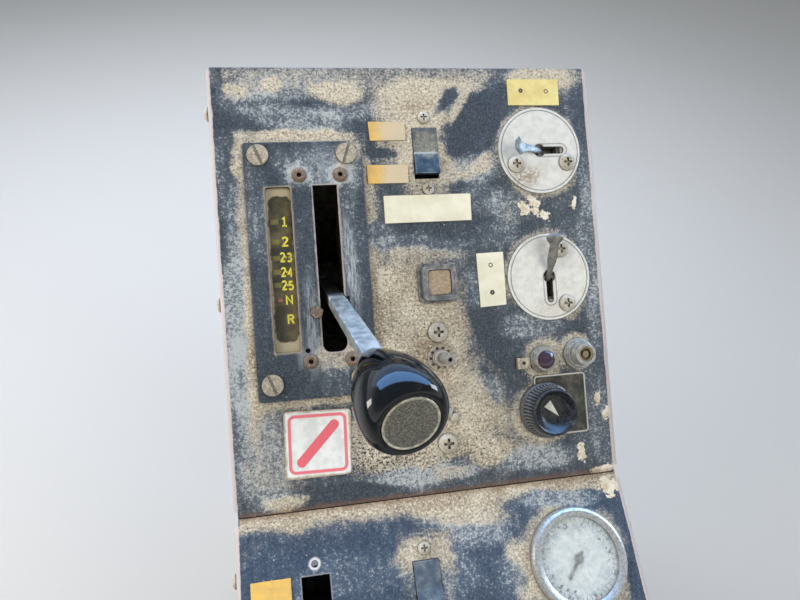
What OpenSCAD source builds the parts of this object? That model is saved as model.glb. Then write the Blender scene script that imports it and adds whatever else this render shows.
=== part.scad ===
// Centre control console of an airport fire truck's cab.
// A folded sheet steel pedestal stands on the cab floor. Two sloping covers close its top:
// the upper one carries the transmission range selector and the controls round it, the lower
// one a gauge and two switch places. +X is to the right, +Y forward, +Z up. The origin is on
// the floor, midway between the four floor bolts.

/* [Pedestal] */
// Width over the covers' turned-down side flanges
console_w = 249.8; // [240:0.2:270]
// Height of the seam between the two covers
seam_z = 405; // [380:1:440]
// Slope of the upper cover from horizontal, in degrees
upper_slope = 40; // [36:0.5:44]
// Slope of the lower cover from horizontal, in degrees
lower_slope = 20; // [16:0.5:24]
// Length of the upper cover up its slope, from the seam to the dash
upper_len = 272; // [270:1:300]
// Length of the lower cover down its slope, from the seam to the seat side
lower_len = 230; // [190:1:260]
// Thickness of the pedestal's sheet
wall_t = 2; // [1.5:0.1:2.5]
// Thickness of the covers' sheet
cover_t = 2; // [1.5:0.1:2.5]
// Gap between a cover's side flange and the wall inside it
cover_gap = 0.2; // [0.1:0.05:0.5]
// Depth of the covers' turned-down flanges
flange_d = 18; // [14:1:22]
// Outside radius of a cover's folded edge
fold_r = 3; // [2.6:0.1:4]
// Length of the relief notch at each end of the seam
notch_len = 4; // [2:0.5:6]
// Gap between the two covers at the seam
seam_gap = 0.6; // [0.3:0.1:1.2]
// Width of the flanges that stand on the floor
foot_w = 24; // [20:1:34]
// Hole for a floor bolt
foot_hole_d = 9; // [7:0.5:11]
// Distance of the floor bolts from the pedestal's ends
foot_hole_inset = 60; // [40:5:90]
// Width of the flanges that bolt to the dash bulkhead
dash_flange_w = 22; // [18:1:30]
// Hole for a bulkhead bolt
dash_hole_d = 7; // [5:0.5:9]
// Height of the lower bulkhead bolts
dash_hole_low = 90; // [60:5:150]
// Height of the upper bulkhead bolts
dash_hole_high = 450; // [380:5:500]
// Leg of the rails that join the walls
rail_leg = 20; // [16:1:22]

/* [Selector] */
// Width of the selector's face plate
plate_w = 72.5; // [70:0.5:76]
// Height of the selector's face plate
plate_l = 157.2; // [152:0.2:164]
// Thickness of the face plate
plate_t = 3; // [2:0.5:4]
// Distance of the face plate's middle from the console's left edge
plate_in = 55.3; // [54:0.1:57]
// Width of the lever's slot
slot_w = 15.2; // [14.6:0.2:16]
// Length of the lever's slot
slot_l = 103; // [96:0.5:105]
// Distance of the slot's middle to the right of the plate's middle
slot_off = 11.7; // [11.2:0.1:12.2]
// Width of the range window
window_w = 15.5; // [13:0.5:16]
// Distance of the range window's middle to the left of the plate's middle
window_off = 17.1; // [16.5:0.1:18]
// Length of the range window
window_l = 101; // [95:0.5:104]
// Depth of the lever's pivot under the cover
pivot_depth = 110; // [100:1:120]
// Width of the lever's flat bar
bar_w = 9.5; // [8:0.1:10]
// Thickness of the lever's flat bar
bar_t = 6.35; // [5:0.05:8]
// Distance of the bar's middle to the right of the slot's middle
bar_off = 2.1; // [1.6:0.1:2.3]
// Distance of the lever's bend behind the slot's middle, in neutral
bend_back = 20.8; // [18:0.2:24]
// Height of the lever's bend over the cover
bend_h = 6.5; // [5:0.5:9]
// Rake of the upper arm towards the seat, in degrees
arm_rake = 28.8; // [25:0.1:36]
// Lean of the upper arm to the right, in degrees
arm_lean = 9.1; // [6:0.1:12]
// Length of the upper arm from its bend to the knob's neck
arm_len = 71; // [66:1:78]
// Diameter of the pivot pin
pivot_d = 10; // [8:0.5:12]
// Radial clearance of a turning fit
running_c = 0.05; // [0.02:0.01:0.1]
// Length of the knob along its axis
knob_l = 54; // [50:1:58]
// Largest diameter of the knob
knob_d = 43.6; // [42:0.2:46]
// Diameter of the knob's neck
knob_neck_d = 16; // [14:0.5:18]
// Diameter of the medallion in the knob's face
medallion_d = 28; // [26:0.5:30]

/* [Controls] */
// Width of a switch's cut-out
switch_w = 16.4; // [16:0.1:18]
// Height of a switch's cut-out
switch_l = 33; // [31:0.5:36]
// Distance between a switch's two screws
switch_pitch = 46; // [44:0.5:50]
// Gap between a rocker and its cut-out
rocker_gap = 0.4; // [0.3:0.05:0.8]
// Angle between a rocker's two rest positions, in degrees
rocker_throw = 16; // [12:1:18]
// Diameter of a valve's round face plate
valve_plate_d = 57.15; // [54:0.05:60]
// Thickness of a valve's face plate
valve_plate_t = 1.2; // [0.8:0.1:2]
// Diameter of the hole that a valve's lever comes through
valve_hole_d = 8.4; // [8:0.1:10]
// Width of the slot beside that hole
valve_slot_w = 5; // [4.6:0.1:6]
// Reach of that slot from the middle of the hole
valve_slot_reach = 17.2; // [14:0.2:20]
// Tilt of a valve's lever where it leaves the plate, in degrees
valve_tilt = 38; // [34:1:40]
// Diameter of the gauge's bezel
gauge_d = 62; // [60:0.5:66]
// Diameter of the gauge's case, and of its hole with a clearance
gauge_case_d = 52.4; // [50:0.1:54]
// Diameter of the bare spindle
spindle_d = 6.35; // [6:0.05:6.5]
// Height of the spindle's end over the cover
spindle_h = 24; // [18:0.5:28]
// Diameter of the rotary knob at its skirt
rotary_d = 36; // [32:0.5:39]
// Height of the rotary knob
rotary_h = 16; // [13:0.5:19]
// Size of the square pilot lamp's base
lamp_w = 25; // [24:0.5:27]
// Height of the pilot lamp over the cover
lamp_h = 8; // [6:0.5:10]

/* [Hidden] */
$fn = 48;

eps = 0.01;
half_w = console_w / 2;
wall_x = half_w - cover_t - cover_gap;
depth = upper_len * cos(upper_slope) + lower_len * cos(lower_slope);
front_y = depth / 2;
rear_y = -depth / 2;
seam_y = rear_y + lower_len * cos(lower_slope);

// Unit directions in the side view, as [y, z]: up each slope and out of each cover
upper_dir = [cos(upper_slope), sin(upper_slope)];
lower_dir = [cos(lower_slope), sin(lower_slope)];
upper_out = [-sin(upper_slope), cos(upper_slope)];
lower_out = [-sin(lower_slope), cos(lower_slope)];
seam_yz = [seam_y, seam_z];
// Step from the seam to the place where two sheets, each h out of its cover, meet
function seam_step(h) = h * (upper_out + lower_out) / (1 + upper_out * lower_out);
function upper_yz(s, h) = seam_yz + s * upper_dir + h * upper_out;
function lower_yz(d, h) = seam_yz - d * lower_dir + h * lower_out;

// Frame of the upper cover: x across, s up the slope from the seam, h out of the cover
module upper_at(x, s, h = 0)
    translate([0, seam_y, seam_z]) rotate([upper_slope, 0, 0]) translate([x, s, h]) children();

// Frame of the lower cover: x across, d down the slope from the seam, h out of the cover
module lower_at(x, d, h = 0)
    translate([0, seam_y, seam_z]) rotate([lower_slope, 0, 0]) translate([x, -d, h]) children();

// Rows keep their share of the upper cover's length: row(s) is s millimetres on a cover of
// drawn_len. The top row keeps to the dash end, and the outer columns to the side edges.
drawn_len = 272;
top_row_in = 55.4;
function row(s) = s * upper_len / drawn_len;
plate_x = -half_w + plate_in;
plate_s = row(146);
slot_x = plate_x + slot_off;
window_x = plate_x - window_off;
bar_x = slot_x + bar_off;
bend_s = plate_s - bend_back;
plate_edge = plate_x + plate_w / 2;
// Places on the upper cover, as [x, s]
fast_idle_at = [8.3, upper_len - top_row_in];
axle_valve_at = [half_w - 38.9, upper_len - top_row_in];
brake_valve_at = [half_w - 39.1, row(132.4)];
pilot_lamp_at = [9.6, row(132.8)];
dimmer_at = [8.2, row(85.1)];
push_lamp_at = [half_w - 48, row(78.5)];
key_lock_at = [half_w - 22.8, row(80.2)];
rotary_in = 48.3;
rotary_at = [half_w - rotary_in, row(45.6)];
// Places on the lower cover, as [x, d]
lower_switch_at = [-13.6, 53.4];
blank_switch_at = [-half_w + 45.2, 53.4];
gauge_at = [half_w - 41.9, 49.5];

// Paint colours of the object, as names used below
navy = "#1c222b";
bare_steel = "#8f979d";
zinc = "#b9b7ae";
black_plastic = "#15181c";

// Rounded rectangle centred on the origin
module round_rect(w, l, r) {
    square([w - 2 * r, l], center = true);
    square([w, l - 2 * r], center = true);
    for (sx = [-1, 1], sy = [-1, 1])
        translate([sx * (w / 2 - r), sy * (l / 2 - r)]) circle(r);
}

// Pan head of a screw, seated at h = 0, with its cross recess
module pan_head(d, h, recess = 0.36) {
    difference() {
        union() {
            cylinder(d = d, h = h * 0.45);
            translate([0, 0, h * 0.45]) cylinder(d1 = d, d2 = d * 0.62, h = h * 0.55);
        }
        for (turn = [0, 90])
            rotate([0, 0, turn]) translate([0, 0, h])
                cube([d * 0.52, d * 0.13, 2 * h * recess], center = true);
    }
}

// Screw with a pan head and its shank
module pan_screw(d, h, shank_d, shank_l) {
    pan_head(d, h);
    translate([0, 0, -shank_l]) cylinder(d = shank_d, h = shank_l + eps);
}

// Side walls
// Outer face of the end wall, inside the lower cover's end flange
end_y = rear_y + cover_t + cover_gap;
// Height of the covers' underside at a given y, under the lower and under the upper cover
function lower_under_z(y) = seam_z + (y - seam_y) * tan(lower_slope) - cover_t / cos(lower_slope);
function upper_under_z(y) = seam_z + (y - seam_y) * tan(upper_slope) - cover_t / cos(upper_slope);
// The bulkhead flanges stop below the upper cover's end flange
dash_flange_top = upper_yz(upper_len, 0)[1] - flange_d - 2;
// Side view of a wall, as [y, z]: its front edge steps back behind the cover's end flange
wall_outline = [
    [end_y + wall_t, 0], [front_y, 0], [front_y, dash_flange_top],
    [front_y - cover_t - cover_gap, dash_flange_top],
    [front_y - cover_t - cover_gap, upper_under_z(front_y - cover_t - cover_gap)],
    seam_yz + seam_step(-cover_t),
    [end_y + wall_t, lower_under_z(end_y + wall_t)]
];
side_screw_s = [row(128), upper_len - 26];
side_screw_d = [34, 150];
side_screw_hole = 4.4;

module on_side(side) {
    for (s = side_screw_s)
        upper_at(0, s, -flange_d / 2) rotate([0, side * 90, 0]) translate([0, 0, wall_x]) children();
    for (d = side_screw_d)
        lower_at(0, d, -flange_d / 2) rotate([0, side * 90, 0]) translate([0, 0, wall_x]) children();
}

foot_y = front_y - foot_hole_inset;
foot_x = wall_x + foot_w / 2;
dash_hole_x = wall_x - wall_t - dash_flange_w / 2;

module side_wall(side) {
    difference() {
        union() {
            translate([side > 0 ? wall_x - wall_t : -wall_x, 0, 0])
                rotate([90, 0, 90]) linear_extrude(wall_t) polygon(wall_outline);
            // Foot flange
            translate([side > 0 ? wall_x - wall_t : -wall_x - foot_w, end_y + wall_t, 0])
                cube([foot_w + wall_t, front_y - end_y - wall_t, wall_t]);
            // Bulkhead flange
            translate([side > 0 ? wall_x - wall_t - dash_flange_w : -wall_x, front_y - wall_t, 0])
                cube([dash_flange_w + wall_t, wall_t, dash_flange_top]);
        }
        for (y = [-foot_y, foot_y])
            translate([side * foot_x, y, -1]) cylinder(d = foot_hole_d, h = wall_t + 2);
        for (z = [dash_hole_low, dash_hole_high])
            translate([side * dash_hole_x, front_y + 1, z]) rotate([90, 0, 0])
                cylinder(d = dash_hole_d, h = wall_t + 2);
        on_side(side) translate([0, 0, -wall_t - 1]) cylinder(d = side_screw_hole, h = wall_t + 2);
    }
}

module side_wall_left() { color(navy) side_wall(-1); }
module side_wall_right() { color(navy) side_wall(1); }

// Panel at the seat side, between the walls, with a foot flange and edge flanges
end_top = lower_under_z(end_y) - cover_gap;
end_return_w = 18;
module end_wall() {
    inner = wall_x - wall_t - cover_gap;
    color(navy) {
        translate([-wall_x, end_y, 0]) cube([2 * wall_x, wall_t, end_top]);
        translate([-inner, end_y, 0]) cube([2 * inner, foot_w, wall_t]);
        for (side = [-1, 1])
            translate([side > 0 ? inner - wall_t : -inner, end_y, 0])
                cube([wall_t, end_return_w, end_top]);
    }
}

// Folded strip under the seam that both covers rest on, with a tab down each wall
rail_x = wall_x - wall_t - cover_gap;
module seam_rail() {
    color(navy) {
        translate([-rail_x, 0, 0]) rotate([90, 0, 90]) linear_extrude(2 * rail_x) polygon([
            seam_yz + seam_step(-cover_t), upper_yz(rail_leg, -cover_t),
            upper_yz(rail_leg, -cover_t - wall_t), seam_yz + seam_step(-cover_t - wall_t),
            lower_yz(rail_leg, -cover_t - wall_t), lower_yz(rail_leg, -cover_t)
        ]);
        for (side = [-1, 1])
            translate([side > 0 ? rail_x - wall_t : -rail_x, 0, 0]) rotate([90, 0, 90])
                linear_extrude(wall_t) polygon([
                seam_yz + seam_step(-cover_t - wall_t), upper_yz(rail_leg, -cover_t - wall_t),
                upper_yz(rail_leg, -cover_t - rail_leg), lower_yz(rail_leg, -cover_t - rail_leg),
                lower_yz(rail_leg, -cover_t - wall_t)
            ]);
    }
}

// Angle under the upper cover's end, between the walls
dash_rail_gap = 7;
module dash_rail() {
    edge = upper_len - dash_rail_gap;
    foot = edge - rail_leg;
    color(navy) translate([-rail_x, 0, 0]) rotate([90, 0, 90]) linear_extrude(2 * rail_x) polygon([
        upper_yz(edge, -cover_t), upper_yz(foot, -cover_t),
        upper_yz(foot, -cover_t - rail_leg), upper_yz(foot + wall_t, -cover_t - rail_leg),
        upper_yz(foot + wall_t, -cover_t - wall_t), upper_yz(edge, -cover_t - wall_t)
    ]);
}

// Covers
// Section of a cover across the console: a flat sheet with both edges folded down
module cover_section() {
    difference() {
        translate([0, -flange_d / 2]) square([console_w, flange_d], center = true);
        translate([0, -cover_t - flange_d / 2]) square([console_w - 2 * cover_t, flange_d], center = true);
        for (side = [-1, 1])
            translate([side * (half_w - fold_r), -fold_r]) difference() {
                translate([side > 0 ? 0 : -fold_r - 1, 0]) square([fold_r + 1, fold_r + 1]);
                circle(fold_r);
            }
    }
}

// Folded sheet from 0 to len along +Y, outer face at z = 0, notched at the seam's ends
module cover_sheet(len) {
    difference() {
        translate([0, len, 0]) rotate([90, 0, 0]) linear_extrude(len) cover_section();
        for (side = [-1, 1])
            translate([side > 0 ? half_w - fold_r : -half_w - 1, -1, -flange_d - 1])
                cube([fold_r + 1, notch_len + 1, flange_d + 2]);
    }
}

// A cover runs past its end, is cut upright there, and gets an upright end flange
overrun = 14;
module end_flange(edge, step, slope)
    translate([-half_w + cover_t - eps, 0, 0]) rotate([90, 0, 90])
        linear_extrude(console_w - 2 * cover_t + 2 * eps) polygon([
            edge, edge - [0, flange_d], edge + [step, -flange_d],
            edge + [step, step * tan(slope) - cover_t / cos(slope) / 2]
        ]);

// Under the selector's plate the cover is cut away for the housing and the index strip
housing_x0 = slot_x - 20.6;
housing_t = 2;
housing_x1 = slot_x + 17.9;
housing_s0 = plate_s - 63;
housing_s1 = plate_s + 64.5;
housing_flange = 11;
strip_x0 = window_x - window_w / 2 - 4;
mouth_x0 = strip_x0 - 1.5;
mouth_x1 = housing_x1 + 1;
mouth_s0 = housing_s0 - 1;
mouth_s1 = housing_s1 + 1;
plate_screw_x = [plate_x - plate_w / 2 + 8.7, plate_x + plate_w / 2 - 10];
plate_screw_back = 68.5;
plate_screw_fore = 70.8;
plate_screw_s = [plate_s - plate_screw_back, plate_s + plate_screw_fore];
plate_screw_d = 6.2;

switch_screw_d = 3.8;
valve_mouth_d = 30;
valve_screw_d = 4.2;
// Screws beside a valve's lever, from the plate's middle, in the frame whose slot runs along +X
axle_screw_at = [[-17.6, -9], [18.4, -8.6]];
brake_screw_at = [[-17.9, 8.9], [18.2, 11]];
panel_screw_at = [[7.5, row(101.6)], [8.9, row(30.9)]];
panel_screw_d = 4.6;
dimmer_bush_d = 9.4;
push_lamp_bush_d = 14;
lock_bush_d = 18.6;
rotary_bush_d = 9.4;
lamp_mouth_w = lamp_w - 6;
bush_gap = 0.3;

module upper_cover() {
    cut_h = cover_t + 2;
    color(navy) difference() {
        union() {
            upper_at(0, seam_gap / 2) cover_sheet(upper_len + overrun);
            end_flange(upper_yz(upper_len, 0), -cover_t, upper_slope);
        }
        translate([-console_w, front_y, 0]) cube([2 * console_w, 2 * overrun, 2 * seam_z]);
        upper_at(0, 0, -cover_t - 1) {
            translate([mouth_x0, mouth_s0, 0]) cube([mouth_x1 - mouth_x0, mouth_s1 - mouth_s0, cut_h]);
            for (x = plate_screw_x, s = plate_screw_s)
                translate([x, s, 0]) cylinder(d = plate_screw_d + 0.6, h = cut_h);
            translate([fast_idle_at[0] - switch_w / 2, fast_idle_at[1] - switch_l / 2, 0])
                cube([switch_w, switch_l, cut_h]);
            for (side = [-1, 1])
                translate([fast_idle_at[0], fast_idle_at[1] + side * switch_pitch / 2, 0])
                    cylinder(d = switch_screw_d + 0.4, h = cut_h);
            for (valve = [axle_valve_at, brake_valve_at])
                translate([valve[0], valve[1], 0]) cylinder(d = valve_mouth_d, h = cut_h);
            for (p = axle_screw_at)
                translate([axle_valve_at[0] + p[0], axle_valve_at[1] + p[1], 0])
                    cylinder(d = valve_screw_d + 0.4, h = cut_h);
            for (p = brake_screw_at)
                translate([brake_valve_at[0] + p[1], brake_valve_at[1] - p[0], 0])
                    cylinder(d = valve_screw_d + 0.4, h = cut_h);
            translate([pilot_lamp_at[0] - lamp_mouth_w / 2, pilot_lamp_at[1] - lamp_mouth_w / 2, 0])
                cube([lamp_mouth_w, lamp_mouth_w, cut_h]);
            for (hole = [[dimmer_at, dimmer_bush_d], [push_lamp_at, push_lamp_bush_d],
                         [key_lock_at, lock_bush_d], [rotary_at, rotary_bush_d]])
                translate([hole[0][0], hole[0][1], 0]) cylinder(d = hole[1] + 2 * bush_gap, h = cut_h);
            for (p = panel_screw_at)
                translate([p[0], p[1], 0]) cylinder(d = panel_screw_d + 0.4, h = cut_h);
        }
        for (s = side_screw_s)
            upper_at(0, s, -flange_d / 2) rotate([0, 90, 0])
                cylinder(d = side_screw_hole, h = console_w + 2, center = true);
    }
}

gauge_hole_gap = 0.4;
module lower_cover() {
    cut_h = cover_t + 2;
    color(navy) difference() {
        union() {
            lower_at(0, seam_gap / 2) rotate([0, 0, 180]) cover_sheet(lower_len + overrun);
            end_flange(lower_yz(lower_len, 0), cover_t, lower_slope);
        }
        translate([-console_w, rear_y - 2 * overrun, 0]) cube([2 * console_w, 2 * overrun, 2 * seam_z]);
        for (place = [lower_switch_at, blank_switch_at])
            lower_at(place[0], place[1], -cover_t - 1) {
                translate([-switch_w / 2, -switch_l / 2, 0]) cube([switch_w, switch_l, cut_h]);
                for (side = [-1, 1])
                    translate([0, side * switch_pitch / 2, 0])
                        cylinder(d = switch_screw_d + 0.4, h = cut_h);
            }
        lower_at(gauge_at[0], gauge_at[1], -cover_t - 1)
            cylinder(d = gauge_case_d + 2 * gauge_hole_gap, h = cut_h);
        for (d = side_screw_d)
            lower_at(0, d, -flange_d / 2) rotate([0, 90, 0])
                cylinder(d = side_screw_hole, h = console_w + 2, center = true);
    }
}

// Screws that hold the covers' side flanges to the walls
module cover_screws() {
    color(zinc) for (side = [-1, 1])
        on_side(side) translate([0, 0, cover_gap + cover_t])
            pan_screw(9, 2.6, side_screw_hole - 0.4, cover_t + cover_gap + wall_t);
}

// Selector
module selector_plate() {
    color(navy) upper_at(plate_x, plate_s) difference() {
        linear_extrude(plate_t) difference() {
            round_rect(plate_w, plate_l, 1.5);
            translate([slot_x - plate_x, 0]) gate_slot();
            translate([window_x - plate_x, 0.5]) round_rect(window_w, window_l, 2);
            for (x = plate_screw_x, s = plate_screw_s)
                translate([x - plate_x, s - plate_s]) circle(d = plate_screw_d + 0.4);
            for (p = rivet_at) translate([p[0] - plate_x, p[1] - plate_s]) circle(d = rivet_d);
            translate([slot_x - 16.9 - plate_x, -49.6]) circle(d = rivet_eye_d);
            translate([stop_bolt_at[0] - plate_x, stop_bolt_at[1] - plate_s]) circle(d = stop_bolt_d);
        }
    }
}

// Neutral notch: its depth, its length, and how far it starts behind the lever's bend
notch_w = 3;
notch_l = 18;
notch_back = 15.2;
// The lever's slot: square at the dash end, round-cornered at the seat end, with the
// neutral notch in its right edge
module gate_slot() {
    translate([-slot_w / 2, -slot_l / 2 + 6]) square([slot_w, slot_l - 6]);
    translate([0, -slot_l / 2 + 12]) round_rect(slot_w, 24, 5);
    translate([slot_w / 2 - 2, -bend_back - notch_back]) square([2 + notch_w, notch_l]);
}

rivet_d = 4.8;
rivet_head_d = 9;
rivet_tail_d = 5.4;
rivet_eye_d = 3;
rivet_at = [[slot_x - 15.3, plate_s + 58], [slot_x + 10, plate_s + 57.6],
            [slot_x - 15.6, plate_s - 56.2], [slot_x + 9.8, plate_s - 56.6]];
stop_bolt_at = [slot_x - slot_w / 2 - 2.6, plate_s - 26.5];
stop_bolt_d = 4;
housing_h = pivot_depth + 17;
pivot_s = plate_s;

// Box that hangs from the plate: its ends taper to a floor under the pivot pin, and its two
// top flanges are riveted to the plate
housing_end_h = 46;
cheek_foot = 16;
// Side view of the box, as [s, h], with a wall's thickness taken off inside
function box_outline(off) = [
    [housing_s0 + off, off > 0 ? 1 : 0], [housing_s1 - off, off > 0 ? 1 : 0],
    [housing_s1 - off, -housing_end_h + off / 3],
    [pivot_s + cheek_foot - off / 3, -housing_h + off],
    [pivot_s - cheek_foot + off / 3, -housing_h + off],
    [housing_s0 + off, -housing_end_h + off / 3]
];
module selector_housing() {
    w = housing_x1 - housing_x0;
    color("#2a2d30") upper_at(0, 0) difference() {
        union() {
            difference() {
                translate([housing_x0, 0, 0]) rotate([90, 0, 90])
                    linear_extrude(w) polygon(box_outline(0));
                translate([housing_x0 + housing_t, 0, 0]) rotate([90, 0, 90])
                    linear_extrude(w - 2 * housing_t) polygon(box_outline(housing_t));
            }
            for (s = [housing_s0, housing_s1 - housing_flange])
                translate([housing_x0, s, -housing_t]) cube([w, housing_flange, housing_t]);
        }
        for (p = rivet_at)
            translate([p[0], p[1], -housing_t - 1]) cylinder(d = rivet_d, h = housing_t + 2);
        translate([housing_x0 - 1, pivot_s, -pivot_depth]) rotate([0, 90, 0])
            cylinder(d = pivot_d, h = w + 2);
        for (p = post_at)
            translate([housing_x1 - housing_t - 1, pivot_s + p[0], -pivot_depth + p[1]])
                rotate([0, 90, 0]) cylinder(d = tenon_d, h = housing_t + 2);
    }
}

// Angle of the lever's shank from the cover's normal in neutral, positive towards the dash
neutral_angle = -atan((pivot_s - bend_s) / (pivot_depth + bend_h));
// Travel from neutral, in millimetres along the slot, of each range from reverse to first
gate_travel = [-11.2, 0, 9.8, 17.6, 26.4, 35.7, 48];
function gate_angle(travel) =
    -atan((pivot_s - bend_s - travel) / (pivot_depth + bend_h));
quadrant_r = 88;
quadrant_inner_r = 62;
quadrant_t = 3;
quadrant_x = bar_x + bar_w / 2 + 3.2;
detent_d = 3.6;
notch_r = 2.6;
sector_half = 28;
post_at = [[-22, 70], [22, 70]];
post_d = 9;
tenon_d = 5;

// Notched sector beside the lever, one notch for each range, on two posts riveted to the box
module selector_quadrant() {
    big = 3 * quadrant_r;
    post_l = housing_x1 - housing_t - quadrant_x - quadrant_t;
    color("#6d6a62") upper_at(quadrant_x, pivot_s, -pivot_depth) rotate([90, 0, 90]) {
        linear_extrude(quadrant_t) difference() {
            circle(quadrant_r, $fn = 96);
            circle(quadrant_inner_r, $fn = 96);
            for (side = [-1, 1])
                rotate(side * sector_half) translate([side > 0 ? -big : 0, -big]) square([big, 2 * big]);
            translate([-big, -2 * big]) square([2 * big, 2 * big]);
            for (travel = gate_travel)
                rotate(-gate_angle(travel)) translate([0, quadrant_r]) circle(notch_r);
        }
        for (p = post_at) translate([p[0], p[1], quadrant_t]) {
            cylinder(d = post_d, h = post_l);
            translate([0, 0, post_l]) cylinder(d = tenon_d, h = housing_t);
            translate([0, 0, post_l + housing_t]) cylinder(d1 = post_d, d2 = tenon_d, h = 2);
        }
    }
}

// Pin through both cheeks, with a head outside each and a collar on each side of the hub
module selector_pivot_pin() {
    collar_d = pivot_d + 6;
    collar_gap = 0.4;
    hub_x0 = bar_x - bar_w / 2 - collar_gap;
    hub_x1 = bar_x + bar_w / 2 + collar_gap;
    color(bare_steel) upper_at(0, pivot_s, -pivot_depth) rotate([0, 90, 0]) {
        translate([0, 0, housing_x0 - 3]) cylinder(d = pivot_d, h = housing_x1 - housing_x0 + 6);
        translate([0, 0, housing_x0 - 3]) cylinder(d = collar_d, h = 3);
        translate([0, 0, housing_x1]) cylinder(d = collar_d, h = 3);
        translate([0, 0, housing_x0 + housing_t])
            cylinder(d = collar_d, h = hub_x0 - housing_x0 - housing_t);
        translate([0, 0, hub_x1]) cylinder(d = collar_d, h = housing_x1 - housing_t - hub_x1);
    }
}

strip_t = 1.5;
module selector_index_strip() {
    color("#23261f") upper_at(strip_x0, plate_s - window_l / 2 - 3.5, -strip_t)
        cube([window_w + 4.2, window_l + 8, strip_t]);
}

plate_screw_head_d = 12.8;
plate_screw_h = 1.8;
plate_screw_l = 16;
module selector_plate_screws() {
    color("#8d8878") for (x = plate_screw_x, s = plate_screw_s)
        upper_at(x, s, plate_t) {
            difference() {
                cylinder(d = plate_screw_head_d, h = plate_screw_h);
                translate([0, 0, plate_screw_h]) rotate([0, 0, x < plate_x ? 112 : 70])
                    cube([2 * plate_screw_head_d, 1.6, 1.6], center = true);
            }
            translate([0, 0, -plate_screw_l]) cylinder(d = plate_screw_d, h = plate_screw_l + eps);
        }
}

module selector_rivets() {
    color("#7a6a5c") for (p = rivet_at)
        upper_at(p[0], p[1], plate_t) difference() {
            union() {
                cylinder(d = rivet_head_d, h = 0.7);
                translate([0, 0, 0.7]) cylinder(d1 = rivet_head_d, d2 = 6, h = 0.9);
                translate([0, 0, -plate_t - housing_t])
                    cylinder(d = rivet_d, h = plate_t + housing_t + eps);
                translate([0, 0, -plate_t - housing_t - 1.2]) cylinder(d = rivet_tail_d, h = 1.2);
            }
            translate([0, 0, -plate_t]) cylinder(d = rivet_eye_d, h = plate_t + 3);
        }
}

module selector_stop_bolt() {
    color("#7c5544") upper_at(stop_bolt_at[0], stop_bolt_at[1], plate_t) {
        rotate([0, 0, 12]) cylinder(d = 8.1, h = 3, $fn = 6);
        translate([0, 0, -plate_t]) cylinder(d = stop_bolt_d, h = plate_t + eps);
    }
}

// Hub, shank through the slot, and raked arm into the knob
hub_d = 20;
module selector_lever() {
    shank = (pivot_depth + bend_h) / cos(neutral_angle);
    color("#8793a0") difference() {
        union() {
            upper_at(bar_x, pivot_s, -pivot_depth) rotate([-neutral_angle, 0, 0]) {
                translate([-bar_w / 2, 0, 0]) rotate([0, 90, 0]) cylinder(d = hub_d, h = bar_w);
                translate([-bar_w / 2, -bar_t / 2, 0]) cube([bar_w, bar_t, shank]);
                translate([-bar_w / 2, 0, shank]) rotate([0, 90, 0]) cylinder(d = bar_t, h = bar_w);
                // Detent roller over the quadrant's notches
                translate([0, 0, quadrant_r + detent_d / 2 + 0.4]) rotate([0, 90, 0])
                    cylinder(d = detent_d, h = quadrant_x - bar_x + quadrant_t);
            }
            arm_frame() translate([-bar_w / 2, -bar_t / 2, 0]) cube([bar_w, bar_t, arm_len]);
            arm_frame() translate([0, 0, arm_len]) cylinder(d = knob_stud_d, h = knob_stud_l);
        }
        upper_at(bar_x - bar_w, pivot_s, -pivot_depth) rotate([0, 90, 0])
            cylinder(d = pivot_d + 2 * running_c, h = 2 * bar_w);
    }
}

knob_stud_d = 8;
knob_stud_l = 30;
medallion_t = 1.2;
medallion_sink = 0.8;

// Frame at the lever's bend, whose z runs up the raked arm
module arm_frame()
    upper_at(bar_x, bend_s, bend_h) rotate([arm_rake, 0, 0]) rotate([0, arm_lean, 0]) children();

// Half section of the knob as [radius, height]: a pear that swells to a flat face
knob_steps = 18;
knob_waist = 0.75;
knob_rim = 1.6;
function knob_point(i) =
    let (u = i / knob_steps,
         z = u * knob_l,
         rise = sin(90 * min(1, u / knob_waist)),
         fall = u > knob_waist ? (u - knob_waist) / (1 - knob_waist) : 0,
         r = knob_neck_d / 2 + (knob_d - knob_neck_d) / 2 * rise
             - (knob_d - medallion_d - 2 * knob_rim) / 2 * (1 - sqrt(1 - pow(fall, 2.4))))
    [r, z];

module selector_knob() {
    color("#0c0f16") arm_frame() translate([0, 0, arm_len]) difference() {
        rotate_extrude() polygon(concat(
            [[0, 0]], [for (i = [0:knob_steps]) knob_point(i)], [[0, knob_l]]));
        translate([0, 0, -1]) cylinder(d = knob_stud_d, h = knob_stud_l + 1);
        translate([0, 0, knob_l - medallion_sink]) cylinder(d = medallion_d + 0.2, h = 5);
    }
}

module knob_medallion() {
    color("#77756b") arm_frame() translate([0, 0, arm_len + knob_l - medallion_sink]) {
        cylinder(d = medallion_d, h = medallion_t - 0.3);
        difference() {
            cylinder(d = medallion_d, h = medallion_t);
            translate([0, 0, medallion_t - 0.3]) cylinder(d = medallion_d - 1.8, h = 1);
        }
    }
}

// Switches
rocker_pivot_h = -4.5;
rocker_pin_d = 2.4;
switch_body_t = 24;

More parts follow.
